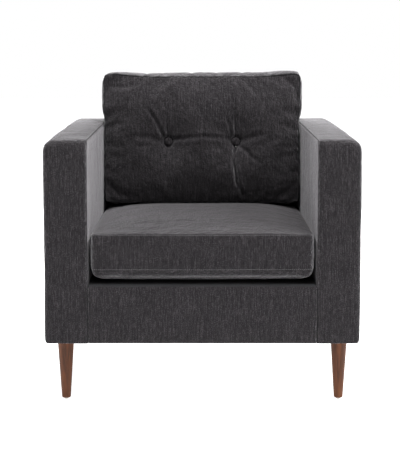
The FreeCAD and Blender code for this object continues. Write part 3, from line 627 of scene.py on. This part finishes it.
# ---------------------------------------------------------------- arms
def crease(points, path, depth, width, towards, chosen):
    """Presses a soft fold along a path into the chosen points, towards a side. Its banks rise a little."""
    taper = 0.25
    path = np.asarray(path, dtype=float)
    best = np.full(len(points), 9.0)
    along = np.zeros(len(points))
    total = np.linalg.norm(np.diff(path, axis=0), axis=1).sum()
    gone = 0.0
    for start, stop in zip(path[:-1], path[1:]):
        run = stop - start
        length = np.linalg.norm(run)
        place = np.clip((points - start) @ run / length ** 2, 0, 1)
        gap = np.linalg.norm(points - start - place[:, None] * run, axis=1)
        closer = gap < best
        best = np.where(closer, gap, best)
        along = np.where(closer, (gone + place * length) / total, along)
        gone += length
    fade = upto(1 - along, taper) * 0.8 + 0.2
    bank = 0.4 * np.exp(-((best - 2.2 * width) / (1.1 * width)) ** 2)
    push = np.exp(-(best / width) ** 2) - bank
    return points + np.asarray(towards) * (push * depth * fade * chosen)[:, None]


ARM_LOW, ARM_HIGH = box("arm_cover_right")
DECK_LEVEL = box("deck_cloth")[0][2]
TURNED_UNDER = 0.0145
LIFTED = 0.0022
FOAM_GAP = 0.0003
ARM_FOAM, BORDER_FOAM, BACK_FOAM = 0.0125, 0.0058, 0.011
FRONT_OUTER, FRONT_INNER, FRONT_TOP, HEM = 0.010, 0.009, 0.022, 0.008
TOP_OUTER, TOP_INNER, REAR_OUTER = 0.026, 0.005, 0.025
ARM_PINCH, CORNER_PINCH = 0.0034, 0.001
# Height under which the arm's inner face takes the velvet copy with the least sheen: painted shade where the
# seat cushion shades it.
PAINTED_SHADE_LEVEL = 0.42


def arm_skin(inset):
    """The right arm's skin, set in from its outside. The outermost one is turned under the arm's bottom."""
    low = ARM_LOW + (inset, inset, LIFTED if inset else 0)
    high = ARM_HIGH - inset
    skin = Skin(spread(low[0], high[0], 0.0095, EDGE), spread(low[1], high[1], 0.012, EDGE),
                spread(low[2], high[2], 0.012, EDGE), skip=("-z",) if inset else (), ribs_turned=("+z",))
    skin.drop(lambda side, middle: side == "-z" and middle[0] < high[0] - TURNED_UNDER
              and low[1] + TURNED_UNDER < middle[1] < high[1] - TURNED_UNDER)
    skin.round(1, 0, -1, 1, FRONT_OUTER)
    skin.round(1, 0, -1, -1, FRONT_INNER, 0.3 + 0.7 * (skin.flat[:, 2] > DECK_LEVEL))
    skin.round(1, 2, -1, 1, FRONT_TOP)
    skin.round(0, 2, 1, -1, HEM - inset)
    skin.round(0, 2, 1, 1, TOP_OUTER - inset)
    skin.round(0, 2, -1, 1, TOP_INNER)
    skin.round(0, 1, 1, 1, REAR_OUTER - inset)
    return skin


def roughen(skin, size, seed, height, fine, free):
    """Gives a cover the faint unevenness of stretched cloth where it is free. Returns what is outwards."""
    out = skin.normals()
    uneven = ripple(skin.points, size, seed) * height
    if fine:
        uneven = uneven + ripple(skin.points, fine[0], seed + 1) * fine[1]
    skin.points = skin.points + out * (uneven * free(out))[:, None]
    return out


def make_arm(side):
    """One arm: its cover with its seams, and the foam inside it."""
    sign, seed = (1, 11) if side == "right" else (-1, 23)
    skin = arm_skin(0.0)
    seam = skin.at(0, -1) & skin.at(2, 1)
    side_seam = skin.at(0, -1) & skin.at(1, -1)
    skin.crown({"-y": 0.0035, "+x": 0.006, "+z": 0.005, "+y": 0.002})
    out = roughen(skin, 0.11, seed, 0.0011, (0.045, 0.0005), lambda out: 1 - np.clip(-out[:, 0], 0, 1))
    skin.points[seam] -= out[seam] * ARM_PINCH
    skin.points[side_seam] -= out[side_seam] * CORNER_PINCH
    uv_shift = 0.0
    if sign < 0:
        skin.mirror()
        uv_shift = 1.7
    uvs = skin.uvs() + (uv_shift, 0.0)
    top_seam = skin.points[seam]
    top_seam = top_seam[np.argsort(top_seam[:, 1])]
    front_seam = skin.points[side_seam]
    front_seam = front_seam[np.argsort(front_seam[:, 2])]
    cover = thicken(smoother(build(f"arm_{side}", skin.points, skin.quads, uvs)), CLOTH)
    dress(cover, "upholstery", "frame", f"arm_cover_{side}", fill=0.9)
    # Painted shade: the arm's inner face takes velvet copies with less sheen, so it renders darker than its
    # light makes it, and darker still below the level beside the seat cushion.
    for extra in ("shaded_inner_fabric", "painted_shade_fabric"):
        cover.data.materials.append(MATERIALS[extra])
    for polygon in cover.data.polygons:
        if abs(polygon.center.x) < ARM_LOW[0] + 0.003:
            polygon.material_index = 1 if polygon.center.z > PAINTED_SHADE_LEVEL else 2
    stitches(f"arm_{side}_top_stitches", cover, top_seam + (sign * 0.0035, 0, 0.0005), "frame")
    # Near-black seam cords: painted shade along the top seam and where the arm meets the border.
    seam_line(f"arm_{side}_top_seam", top_seam[2:] + (0, 0, 0.001), "frame", 0.0016)
    seam_line(f"arm_{side}_border_seam", front_seam[front_seam[:, 2] < DECK_LEVEL], "frame", 0.0011)

    wrap = arm_skin(CLOTH + 0.0004)
    if sign < 0:
        wrap.mirror()
    foam = thicken(smoother(wrap.piece(f"arm_{side}_wrap")), ARM_FOAM)
    dress(foam, "foam", "frame", f"arm_foam_{side}", fill=0.9)


# ---------------------------------------------------------------- front border
def make_border():
    """The padded border under the seat cushion: its cover, turned under the body, and its foam."""
    low, high = box("front_border_cover")
    corner, top_edge, bottom_edge = 0.0035, 0.008, 0.004
    for name, inset, depth in (("front_border", 0.0, CLOTH),
                               ("front_border_wrap", CLOTH + FOAM_GAP, BORDER_FOAM)):
        skin = Skin(spread(low[0] + inset, high[0] - inset, 0.012, EDGE),
                    spread(low[1] + inset, high[1] - 0.001, 0.009, (0.003, 0.014)),
                    spread(low[2] + (LIFTED if inset else 0), high[2] - inset, 0.010, EDGE),
                    skip=("+y", "-z") if inset else ("+y",))
        skin.drop(lambda side, middle: side == "-z" and middle[1] > low[1] + TURNED_UNDER)
        skin.round(1, 0, -1, 1, corner)
        skin.round(1, 0, -1, -1, corner)
        skin.round(1, 2, -1, 1, top_edge)
        skin.round(1, 2, -1, -1, bottom_edge)
        if not inset:
            behind = skin.flat[:, 1] - low[1]
            hem = skin.at(2, -1) & (behind > 0.002) & (behind < TURNED_UNDER)
            skin.points[hem, 2] -= 0.0007
            skin.crown({"-y": 0.0028})
            roughen(skin, 0.09, 5, 0.001, (0.04, 0.0004), lambda out: np.clip(-out[:, 1], 0, 1))
        piece = thicken(smoother(skin.piece(name)), depth)
        if inset:
            dress(piece, "foam", "frame", "front_border_foam", fill=0.9)
            continue
        dress(piece, "upholstery", "frame", "front_border_cover", fill=0.9)
        # Partly painted shade: the dark deck cloth, without sheen, covers the border's top behind its front
        # edge, where a platform cloth is sewn, and keeps the gap under the seat cushion dark.
        piece.data.materials.append(MATERIALS["deck_fabric"])
        for polygon in piece.data.polygons:
            polygon.material_index = int(polygon.center.y > low[1] + CLOTH
                                         and polygon.center.z > high[2] - 0.0075)


# ---------------------------------------------------------------- fixed back
RAKE = math.radians(5.5)
INWARD = np.array((0.0, math.cos(RAKE), -math.sin(RAKE)))
UPWARD = np.array((0.0, math.sin(RAKE), math.cos(RAKE)))
HEEL = np.array((0.0, box("inside_back_cover")[0][1], box("deck_cloth")[1][2]))


def make_back_panels():
    """The fixed back: the cover of its inside with the foam behind it, and the flat outside panel."""
    low, high = box("inside_back_cover")
    lap = box("outside_back_cover")[1][2]
    for name, inset, depth in (("inside_back", 0.0, CLOTH),
                               ("inside_back_wrap", CLOTH + FOAM_GAP, BACK_FOAM)):
        zs = np.concatenate([spread(low[2], lap, 0.014, (0.004,)), spread(lap, high[2] - inset, 0.006)[1:]])
        skin = Skin(spread(low[0] + inset, high[0] - inset, 0.013, EDGE),
                    spread(0, 1, 0.11, (0.03,)), zs, skip=("-z",))
        skin.flat[:, 1] = skin.flat[:, 1] * (high[1] - low[1] - 2 * inset) + low[1] + inset
        skin.points[:, 1] = skin.flat[:, 1]
        skin.round(1, 2, 1, 1, 0.010)
        skin.round(1, 2, -1, 1, 0.012)
        front = (high[2] - low[2]) * math.tan(RAKE)
        up = (skin.points[:, 2] - low[2]) / (high[2] - low[2])
        skin.points[:, 1] += (1 - (skin.points[:, 1] - low[1]) / (high[1] - low[1])) * front * up
        if not inset:
            skin.crown({"+z": 0.003})
            roughen(skin, 0.08, 31, 0.0009, None, lambda out: np.clip(out[:, 2], 0, 1))
        skin.drop(lambda side, middle: side == "+y" and middle[2] < lap - 0.002)
        skin.points[:, 0] *= 1 - 0.0005 / high[0]
        piece = thicken(smoother(skin.piece(name)), depth)
        material, node = ("foam", "back_foam") if inset else ("upholstery", "inside_back_cover")
        dress(piece, material, "frame", node, fill=0.8)

    low, high = box("outside_back_cover")
    turned_under = low[2] - np.array((0.0138, 0.009, 0.004))
    skin = Skin(spread(low[0], high[0], 0.013, EDGE), (low[1], high[1]),
                np.concatenate([turned_under, spread(low[2], high[2], 0.013, EDGE)]))
    below = low[2] - skin.flat[:, 2]
    beneath = below > 0
    skin.points[beneath, 2] = low[2] - (skin.flat[:, 1] - low[1])[beneath]
    skin.points[beneath, 1] -= below[beneath]
    skin.points[:, 1] += 0.0006
    uneven = ripple(skin.points * (1, 0, 1), 0.1, 41) * 0.0009
    skin.points[:, 1] += skin.dome((0, 2), (4, 4)) * (0.0025 + uneven)
    cover = smoother(skin.piece("outside_back"))
    dress(cover, "upholstery", "frame", "outside_back_cover", fill=0.2)
    low, high = low + 0.006, high - 0.006
    rear = high[1] + 0.010
    corners = [(low[0], rear, low[2]), (low[0], rear, high[2]), (high[0], rear, high[2]),
               (high[0], rear, low[2])]
    stitches("outside_back_stitches", cover, corners, "frame")


# ---------------------------------------------------------------- deck and underside
def stretch(skin, name, material, node, support):
    """A stretched cloth made of a skin: its flat size is that of its node."""
    cloth = smoother(skin.piece(name))
    dress(cloth, material, "frame", node)
    return cloth


def make_flat_cloths():
    """The deck cloth under the seat cushion, and the dust cover with its staples."""
    low, high = box("deck_cloth")
    skin = Skin(spread(low[0], high[0], 0.013), spread(low[1], high[1], 0.013), (low[2], high[2]))
    sag = skin.dome((0, 1), (2, 2))
    skin.points[:, 2] -= 0.0004 * sag * (1 + 0.5 * ripple(skin.points * (1, 1, 0), 0.07, 51))
    stretch(skin, "deck", "deck_fabric", "deck_cloth", "deck_pad")

    low, high = box("dust_cover")
    rows = (0.004, 0.012)
    skin = Skin(spread(low[0], high[0], 0.016, rows), spread(low[1], high[1], 0.016, rows),
                (low[2] - 0.0002, high[2] - 0.0004))
    edge = np.minimum(skin.points - low, high - skin.points)[:, :2].min(axis=1)
    sag = upto(edge - 0.012, 0.2)
    skin.points[:, 2] -= 0.0028 * eased(sag) + 0.0005 * (sag > 0) * (
        1 + ripple(skin.points * (1, 1, 0), 0.05, 61)) * np.clip(sag * 6, 0, 1)
    dust = stretch(skin, "underside_cloth", "dust_fabric", "dust_cover", "seat_front_rail")
    near, far = low + 0.009, high - 0.009
    ring = [(near[0], near[1], low[2]), (far[0], near[1], low[2]), (far[0], far[1], low[2]),
            (near[0], far[1], low[2]), (near[0], near[1], low[2])]
    staples = stitches("underside_staples", dust, ring, "frame", 0.042, 0.011, 0.0005)
    staples.data.materials[0] = MATERIALS["zinc_steel"]


# ---------------------------------------------------------------- seat cushion
SEAT_HEIGHT = 0.112
SEAT_SEAM = 0.0195
SEAT_FRONT_ROUND, SEAT_REAR_ROUND = 0.014, 0.026
ROLL_HEIGHT, ROLL_DEPTH, ROLL_REACH = 0.014, 0.012, 0.03
SEAT_TOP, SEAT_SETTLED, SEAT_SLOPE = 0.4395, 0.0110, 0.0085
SEAT_UNDERSIDE, DECK_SLOPE = 0.3262, 0.0132
SIDE_SWELL = 0.022
FRONT_CROWN, MIDDLE_CROWN, UNDER_CROWN = 0.0125, 0.014, 0.013
TOP_PINCH, LOW_PINCH, PILLOW_PINCH = 0.0022, 0.0016, 0.0028


def make_seat():
    """The boxed seat cushion: a cover blown up between its seams, with its fibre and its foam."""
    low, high = box("seat_cushion_cover")
    front, rear = low[1] + 0.0035, high[1] - 0.0025
    half = high[0] - 0.0025
    levels = np.concatenate([[0, 0.004, 0.009, 0.0145, SEAT_SEAM - 0.0025, SEAT_SEAM, SEAT_SEAM + 0.0025],
                             spread(SEAT_SEAM + 0.008, SEAT_HEIGHT - 0.008, 0.0115),
                             [SEAT_HEIGHT - 0.003, SEAT_HEIGHT]])
    skin = Skin(spread(-half, half, 0.0115, EDGE), spread(front, rear, 0.0115, EDGE), levels)
    x, y, z = skin.points.T
    seam_row = np.isclose(skin.flat[:, 2], SEAT_SEAM) & ~skin.at(2, 1) & ~skin.at(2, -1)
    for sign in (1, -1):
        skin.round(0, 1, sign, -1, SEAT_FRONT_ROUND)
        skin.round(0, 1, sign, 1, SEAT_REAR_ROUND)
    back = skin.share[:, 1]
    rolled = 1 - np.sqrt(np.clip(1 - (1 - upto(skin.flat[:, 2], ROLL_HEIGHT)) ** 2, 0, 1))
    edge_x = half - np.abs(x)
    edge_y = np.minimum(y - front, rear - y)
    x -= np.sign(x) * ROLL_DEPTH * rolled * (1 - upto(edge_x, ROLL_REACH))
    y += np.where(back < 0.5, 1, -1) * ROLL_DEPTH * rolled * (1 - upto(edge_y, ROLL_REACH))
    top = SEAT_TOP - SEAT_SETTLED * upto(back, 0.22) ** 0.7 - SEAT_SLOPE * back
    bottom = SEAT_UNDERSIDE - DECK_SLOPE * back
    z[:] = bottom + (top - bottom) * skin.flat[:, 2] / SEAT_HEIGHT
    x *= 1 + SIDE_SWELL * skin.dome((1,), (4,))
    z += ripple(skin.points, 0.16, 71) * 0.0011
    dome = skin.dome((0, 1), (4.5, 3.4))
    on_top, beneath = skin.on(2, 1), skin.on(2, -1)
    z[on_top] += ((FRONT_CROWN + MIDDLE_CROWN * upto(back, 0.25)) * dome)[on_top]
    z[beneath] -= (UNDER_CROWN * dome)[beneath]
    top_seam = skin.at(2, 1) & ~on_top
    inflate(skin, top_seam | seam_row, 3.0, 0.001, 20, np.where(on_top, 0.004, 0.006))
    x, y, z = skin.points.T

    side_room, rear_gap = 0.0055, 0.0006
    z[:] = np.maximum(z, low[2] + 0.0002)
    x[:] = np.clip(x, -high[0] - side_room, high[0] + side_room)
    zip_level = sum(box("seat_zip_tape"))[2] / 2
    band = ~skin.at(2, 1) & ~skin.at(2, -1)
    y[:] = np.minimum(y, high[1] - rear_gap)
    near = band & (y > high[1] - 0.03) & (np.abs(x) < half - 0.02)
    flatten = np.exp(-((z - zip_level) / 0.022) ** 2) * near
    y += flatten * (high[1] - rear_gap - y)
    under_pillow(skin)
    out = skin.normals()
    skin.points[top_seam] -= out[top_seam] * TOP_PINCH
    skin.points[seam_row] -= out[seam_row] * LOW_PINCH
    loops = {"top": ring_of(skin, top_seam), "bottom": ring_of(skin, seam_row)}
    cover = smoother(skin.piece("seat_cushion"))
    dress(cover, "upholstery", "seat_cushion", "seat_cushion_cover", fill=0.85)
    stitches("seat_top_stitches", cover, loops["top"] - (0, 0, 0.0022), "seat_cushion")
    stitches("seat_bottom_stitches", cover, loops["bottom"] + (0, 0, 0.003), "seat_cushion")
    for name, margin, material, node in (("seat_fibre", 0.0035, "fibre_fill", "seat_cushion_fibre"),
                                         ("seat_foam", 0.019, "foam", "seat_cushion_foam")):
        shrunk(cover, name, margin, material, "seat_cushion", node)


def ring_of(skin, chosen):
    """A closed path through the chosen points, in order round the block's middle."""
    flat = skin.flat[chosen]
    middle = (flat.max(axis=0) + flat.min(axis=0)) / 2
    size = np.ptp(flat, axis=0)
    axes = np.argsort(size)[1:]
    turned = (flat[:, axes] - middle[axes]) / size[axes]
    order = np.argsort(np.arctan2(turned[:, 1], turned[:, 0]))
    return skin.points[chosen][np.append(order, order[0])]


def shrunk(piece, name, margin, material, body, node):
    """A filling: the piece's own shape, drawn in by a margin on every side."""
    mesh = piece.data.copy()
    mesh.name = name
    points = points_of(mesh)
    low, high = points.min(axis=0), points.max(axis=0)
    middle = (low + high) / 2
    points = middle + (points - middle) * (1 - 2 * margin / (high - low))
    mesh.vertices.foreach_set("co", points.ravel())
    mesh.update()
    dress(add_object(name, mesh), material, body, node, fill=0.8)


# ---------------------------------------------------------------- back cushion
PILLOW = HEEL - INWARD * 0.002 + UPWARD * 0.142
PILLOW_TOP, PILLOW_FRONT, PILLOW_REAR = 0.350, -0.143, -0.012
BETWEEN_ARMS, ABOVE_ARMS, SHOULDER = 0.2842, 0.2885, 0.226
TOP_CORNER, LOW_CORNER = 0.011, 0.007
EAR_RISE, FRONT_DROOP, FACE_LEAN = 0.0085, 0.0175, 0.006
BELLY, REAR_BELLY = 0.021, 0.011
BUTTON_X, BUTTON_UP = 0.0985, 0.160
BUTTON_Y, REAR_BUTTON_Y = -0.156, -0.005
TUFT_WIDTH, TUFT_HELD, TUFT_LIP = 0.024, 0.011, 0.007
BUTTON_RADIUS = 0.0115
ARM_ROOM, ARM_CLEAR, LIP_WIDTH = 0.2884, 0.681, 0.0095
ZIP_Y = -0.022


def pillowed(points):
    """From the back cushion's own frame (across, -Y forward, up) to the chair's frame."""
    points = np.asarray(points)
    return PILLOW + points[..., :1] * (1, 0, 0) + points[..., 1:2] * INWARD + points[..., 2:3] * UPWARD


def under_pillow(skin):
    """Presses the seat's top down where the back cushion rests on it."""
    y = skin.points[:, 1]
    rest = 0.4450 + 0.0040 * upto(y - 0.10, 0.17)
    ahead = 1 - upto(y - 0.075, 0.03)
    skin.points[:, 2] = np.minimum(skin.points[:, 2], rest + ahead * 0.02)


FOLDS = [
    # which button, path in millimetres across and up from it, depth and width in millimetres
    (-1, ((-9, 9), (-15, 17), (-38, 62), (-62, 98)), 5.5, 4.5),
    (-1, ((-2, 12), (-4, 80)), 6.0, 3.8),
    (-1, ((-12, 2), (-60, 12), (-116, 15)), 2.0, 7),
    (-1, ((12, 4), (29, 7), (107, 15), (177, 7), (186, 4)), 3.6, 5.5),
    (-1, ((3, -12), (8, -60), (2, -110)), 2.2, 7),
    (1, ((-1, 12), (-2, 60), (-2, 181)), 7.5, 3.8),
    (1, ((-8, 10), (-29, 73)), 4.5, 4.0),
    (1, ((12, 2), (79, 19)), 2.4, 7),
    (1, ((-1, -12), (-5, -65), (3, -119), (23, -160)), 7.5, 5.0),
    (1, ((8, -8), (36, -34), (68, -62)), 3.4, 5.5),
]


def make_pillow():
    """The tufted back cushion: blown up around its buttons and seams, then folded, with its filling."""
    skin = Skin(spread(-1, 1, 0.0215, (0.010, 0.028)), spread(PILLOW_FRONT, PILLOW_REAR, 0.010, EDGE),
                spread(0, PILLOW_TOP, 0.0062, EDGE))
    x, y, z = skin.points.T
    inward, up = skin.share[:, 1], skin.share[:, 2]
    reach = BETWEEN_ARMS + (ABOVE_ARMS - BETWEEN_ARMS) * eased(upto(skin.flat[:, 2] - SHOULDER, 0.040))
    skin.flat[:, 0] *= BETWEEN_ARMS
    x[:] = skin.flat[:, 0]
    for end, radius in ((1, TOP_CORNER), (-1, LOW_CORNER)):
        skin.round(0, 2, 1, end, radius)
        skin.round(0, 2, -1, end, radius)
    x *= reach / BETWEEN_ARMS
    z += EAR_RISE * eased(upto(np.abs(skin.flat[:, 0]) - 0.13, 0.14)) * up ** 5
    z -= FRONT_DROOP * upto(-0.035 - skin.flat[:, 1], 0.108) * (1 - up) ** 2
    y -= (1 - up) ** 1.5 * FACE_LEAN * skin.at(1, -1)
    z += ripple(skin.points, 0.11, 81) * 0.0016 * (up > 0.9)
    dome = skin.dome((0, 2), (2.4, 2.4))
    belly = 0.75 + 0.55 * np.sin(math.pi * np.clip(1 - up, 0, 1) ** 0.8)
    face, rear_side, lid = skin.on(1, -1), skin.on(1, 1), skin.on(2, 1)
    y[face] -= (BELLY * dome * belly)[face]
    y[rear_side] += (REAR_BELLY * dome)[rear_side]
    lift = 0.003 + 0.007 * upto(x + 0.24, 0.2)
    z[lid] += (lift * np.sin(math.pi * inward))[lid]
    front_rim = skin.at(1, -1) & ~face
    rear_rim = skin.at(1, 1) & ~rear_side
    held = front_rim | rear_rim
    for sign in (-1, 1):
        gap = np.hypot(x - sign * BUTTON_X, z - BUTTON_UP)
        tuft = np.exp(-(gap / TUFT_WIDTH) ** 2)
        y += tuft * (BUTTON_Y - y) * face
        y += tuft * (REAR_BUTTON_Y - y) * rear_side
        held = held | ((gap < TUFT_HELD) & (face | rear_side))
    slack = np.where(face, 0.022, np.where(lid, 0.011, 0.0095))
    inflate(skin, held, 3.2, 0.030, 22, slack)
    x, y, z = skin.points.T

    y[:] = np.minimum(y, -0.0003)
    near = skin.on(2, -1) & (np.abs(x) < 0.26)
    flatten = np.exp(-((y - ZIP_Y) / 0.014) ** 2) * near
    z += flatten * (0.0004 - z)
    height = pillowed(skin.points)[:, 2]
    side_limit = ARM_ROOM + LIP_WIDTH * upto(height - ARM_CLEAR, 0.060) ** 0.6
    x[:] = np.clip(x, -side_limit, side_limit)
    out = skin.normals()
    rims = front_rim | rear_rim
    skin.points[rims] -= out[rims] * PILLOW_PINCH
    loops = {"front": ring_of(skin, front_rim), "rear": ring_of(skin, rear_rim)}
    cover = smoother(skin.piece("back_cushion"))
    points = points_of(cover.data)
    smooth = points.copy()
    forward = upto(-0.120 - points[:, 1], 0.02)
    for sign, path, depth, width in FOLDS:
        spots = []
        for aside, rise in path:
            spot = np.array((sign * BUTTON_X + aside / 1000, 0, BUTTON_UP + rise / 1000))
            nearest = np.argmin(np.hypot(points[:, 0] - spot[0], points[:, 2] - spot[2]) + 9 * (forward < 1))
            spot[1] = points[nearest, 1]
            spots.append(spot)
        points = crease(points, spots, depth / 1000, width / 1000, (0, 1, 0), forward)
    for sign in (-1, 1):
        gap = np.hypot(points[:, 0] - sign * BUTTON_X, points[:, 2] - BUTTON_UP)
        points[:, 1] += forward * TUFT_LIP * np.exp(-((gap - 0.012) / 0.0045) ** 2)
    points[:, 1] = np.minimum(points[:, 1], smooth[:, 1] + 0.0115)
    cover.data.vertices.foreach_set("co", pillowed(points).ravel())
    cover.data.update()
    dress(cover, "upholstery", "back_cushion", "back_cushion_cover", fill=0.7)
    # Near-black seam cord: painted shade along the seam of the front rim.
    seam_line("back_front_seam", pillowed(loops["front"] - (0, 0.0012, 0)), "back_cushion", 0.0016)
    stitches("back_front_stitches", cover, pillowed(loops["front"] + (0, 0.0048, 0)), "back_cushion")
    stitches("back_rear_stitches", cover, pillowed(loops["rear"] - (0, 0.0048, 0)), "back_cushion")
    shrunk(cover, "back_filling", 0.018, "fibre_fill", "back_cushion", "back_cushion_fill")


# rings of a button: share of its radius, share of its height
BUTTON_RINGS = ((0.70, -0.22), (0.94, -0.05), (1.0, 0.20), (0.985, 0.42), (0.90, 0.68), (0.72, 0.86),
                (0.48, 0.96), (0.24, 1.0))
BUTTON_SIDES = 48


def covered_button(name, middle, facing, radius, height):
    """A button covered in the chair's fabric: a domed face with gathers round its rim."""
    gathers, gather_depth = 12, 0.02
    waves = np.sin(2 * math.pi * gathers * np.arange(BUTTON_SIDES) / BUTTON_SIDES)[:, None]
    across = np.array((1.0, 0.0, 0.0))
    above = np.cross(facing, across)
    tip_lift, foot_lift = 1.005, BUTTON_RINGS[0][1]
    points, uvs = [], []
    for share, lift in BUTTON_RINGS:
        width = radius * share * (1 + gather_depth * waves * (1 - max(lift, 0)) * share)
        points.append(circle(middle + facing * height * lift, across, above, width, BUTTON_SIDES))
        uvs.append(circle(0, (1, 0), (0, 1), radius * share, BUTTON_SIDES))
    points = np.concatenate([*points, [middle + facing * height * lift for lift in (tip_lift, foot_lift)]])
    uvs = np.concatenate([*uvs, np.zeros((2, 2))])
    faces = tube(len(BUTTON_RINGS), BUTTON_SIDES)[:-2]
    tip, foot = len(points) - 2, len(points) - 1
    last = tip - BUTTON_SIDES
    for turn in range(BUTTON_SIDES):
        after = (turn + 1) % BUTTON_SIDES
        faces += [[last + turn, last + after, tip], [after, turn, foot]]
    return build(name, points, faces, uvs[[index for face in faces for index in face]])


def make_buttons():
    """The four buttons of the back cushion, in pairs at the two ends of its twines."""
    for side, sign in (("left", -1), ("right", 1)):
        for end, depth, facing, height in (("front", BUTTON_Y, -INWARD, 0.0085),
                                           ("rear", REAR_BUTTON_Y, INWARD, 0.0045)):
            middle = pillowed(np.array((sign * BUTTON_X, depth, BUTTON_UP)))
            button = covered_button(f"button_{end}_{side}", middle, facing, BUTTON_RADIUS, height)
            dress(button, "upholstery", "back_cushion", f"back_{end}_buttons")
            # Painted shade: the buttons take the velvet copy with little sheen, which takes the sheen's
            # highlight off their rims.
            button.data.materials[0] = MATERIALS["painted_shade_fabric"]


# ---------------------------------------------------------------- zips
def make_zip(name, node, origin, across, out, body):
    """A coil zip: two tapes either side of a row of small teeth."""
    low, high = box(node)
    length = high[0] - low[0]
    width, slot, pitch = 0.010, 0.0016, 0.0022
    half_tooth, half_bite, stagger, proud = 0.0007, 0.0014, 0.0005, 0.0001
    blocks = [Skin((-length / 2, length / 2), edges, (-CLOTH, 0.0))
              for edges in ((-width / 2, -slot), (slot, width / 2))]
    count = int(length / pitch)
    for number in range(count):
        x = -length / 2 + (number + 0.5) * length / count
        shift = stagger if number % 2 else -stagger
        blocks.append(Skin((x - half_tooth, x + half_tooth), (shift - half_bite, shift + half_bite),
                           (-CLOTH, proud)))
    axes = np.array(((1, 0, 0), across, out))
    piece = joined(name, [(origin + block.points @ axes, block.quads) for block in blocks])
    piece.data.polygons.foreach_set("use_smooth", [False] * len(piece.data.polygons))
    dress(piece, "webbing", body, node)


def make_zips():
    """The zips of the two cushions."""
    low, high = box("seat_zip_tape")
    middle = np.array((0.0, high[1], (low[2] + high[2]) / 2))
    make_zip("seat_zip", "seat_zip_tape", middle, (0, 0, 1), (0, 1, 0), "seat_cushion")
    make_zip("back_zip", "back_zip_tape", pillowed((0.0, ZIP_Y, 0.0)), INWARD, -UPWARD, "back_cushion")


# ---------------------------------------------------------------- the CAD's own pieces
def dress_nodes():
    """Gives the CAD pieces their materials. A CAD cloth that stays in view gets the webbing's look."""
    for node, item in frame["nodes"].items():
        material = MATERIALS[SLOT_OF[node]]
        if SLOT_OF[node] in ("upholstery", "deck_fabric", "dust_fabric"):
            material = MATERIALS["webbing"]
        item.data.materials.clear()
        item.data.materials.append(material)


# ---------------------------------------------------------------- stage
# name, place, height of the target, size in metres and power in watts
LAMPS = (("overhead", (0.3, -0.6, 3.4), 0.45, 2.6, 190), ("key", (2.4, -1.8, 2.3), 0.45, 1.8, 40),
         ("fill", (-2.6, -1.6, 2.0), 0.45, 2.0, 3), ("rim", (0.1, 3.0, 1.25), 0.6, 1.6, 170))


def area_light(name, place, aim, size, power):
    """A round lamp that faces the chair's middle line at a height."""
    data = bpy.data.lights.new(name, "AREA")
    data.shape = "DISK"
    data.size = size
    data.energy = power
    light = add_object(name, data)
    light.location = place
    light.rotation_euler = (Vector((0, 0, aim)) - Vector(place)).to_track_quat("-Z", "Y").to_euler()


def make_stage():
    """The floor, the studio's light and the camera."""
    reach = 14.0
    floor = build("floor", reach * np.array([(-1, -1, 0), (1, -1, 0), (1, 1, 0), (-1, 1, 0)]), [(0, 1, 2, 3)])
    floor.data.materials.append(MATERIALS["floor"])
    world = bpy.data.worlds.new("studio")
    world.use_nodes = True
    tree = world.node_tree
    backdrop = tree.nodes["Background"]
    backdrop.inputs[0].default_value = (1, 1, 1, 1)
    seen = tree.nodes.new("ShaderNodeLightPath")
    strength = tree.nodes.new("ShaderNodeMapRange")
    strength.inputs["To Min"].default_value = 0.35
    strength.inputs["To Max"].default_value = 1.0
    tree.links.new(seen.outputs["Is Camera Ray"], strength.inputs["Value"])
    tree.links.new(strength.outputs[0], backdrop.inputs[1])
    SCENE.world = world
    SCENE.view_settings.view_transform = "Standard"
    for lamp in LAMPS:
        area_light(*lamp)

    data = bpy.data.cameras.new("camera")
    data.lens = 104.5
    data.sensor_width = 36.0
    data.shift_y = -0.133
    data.clip_end = 60.0
    camera = add_object("camera", data)
    camera.location = (-0.006, -3.649, 0.956)
    camera.rotation_euler = (math.radians(84.0), 0, 0)
    SCENE.camera = camera


dress_nodes()
for arm_side in ("left", "right"):
    make_arm(arm_side)
make_border()
make_back_panels()
make_flat_cloths()
make_seat()
make_pillow()
make_buttons()
make_zips()
make_stage()
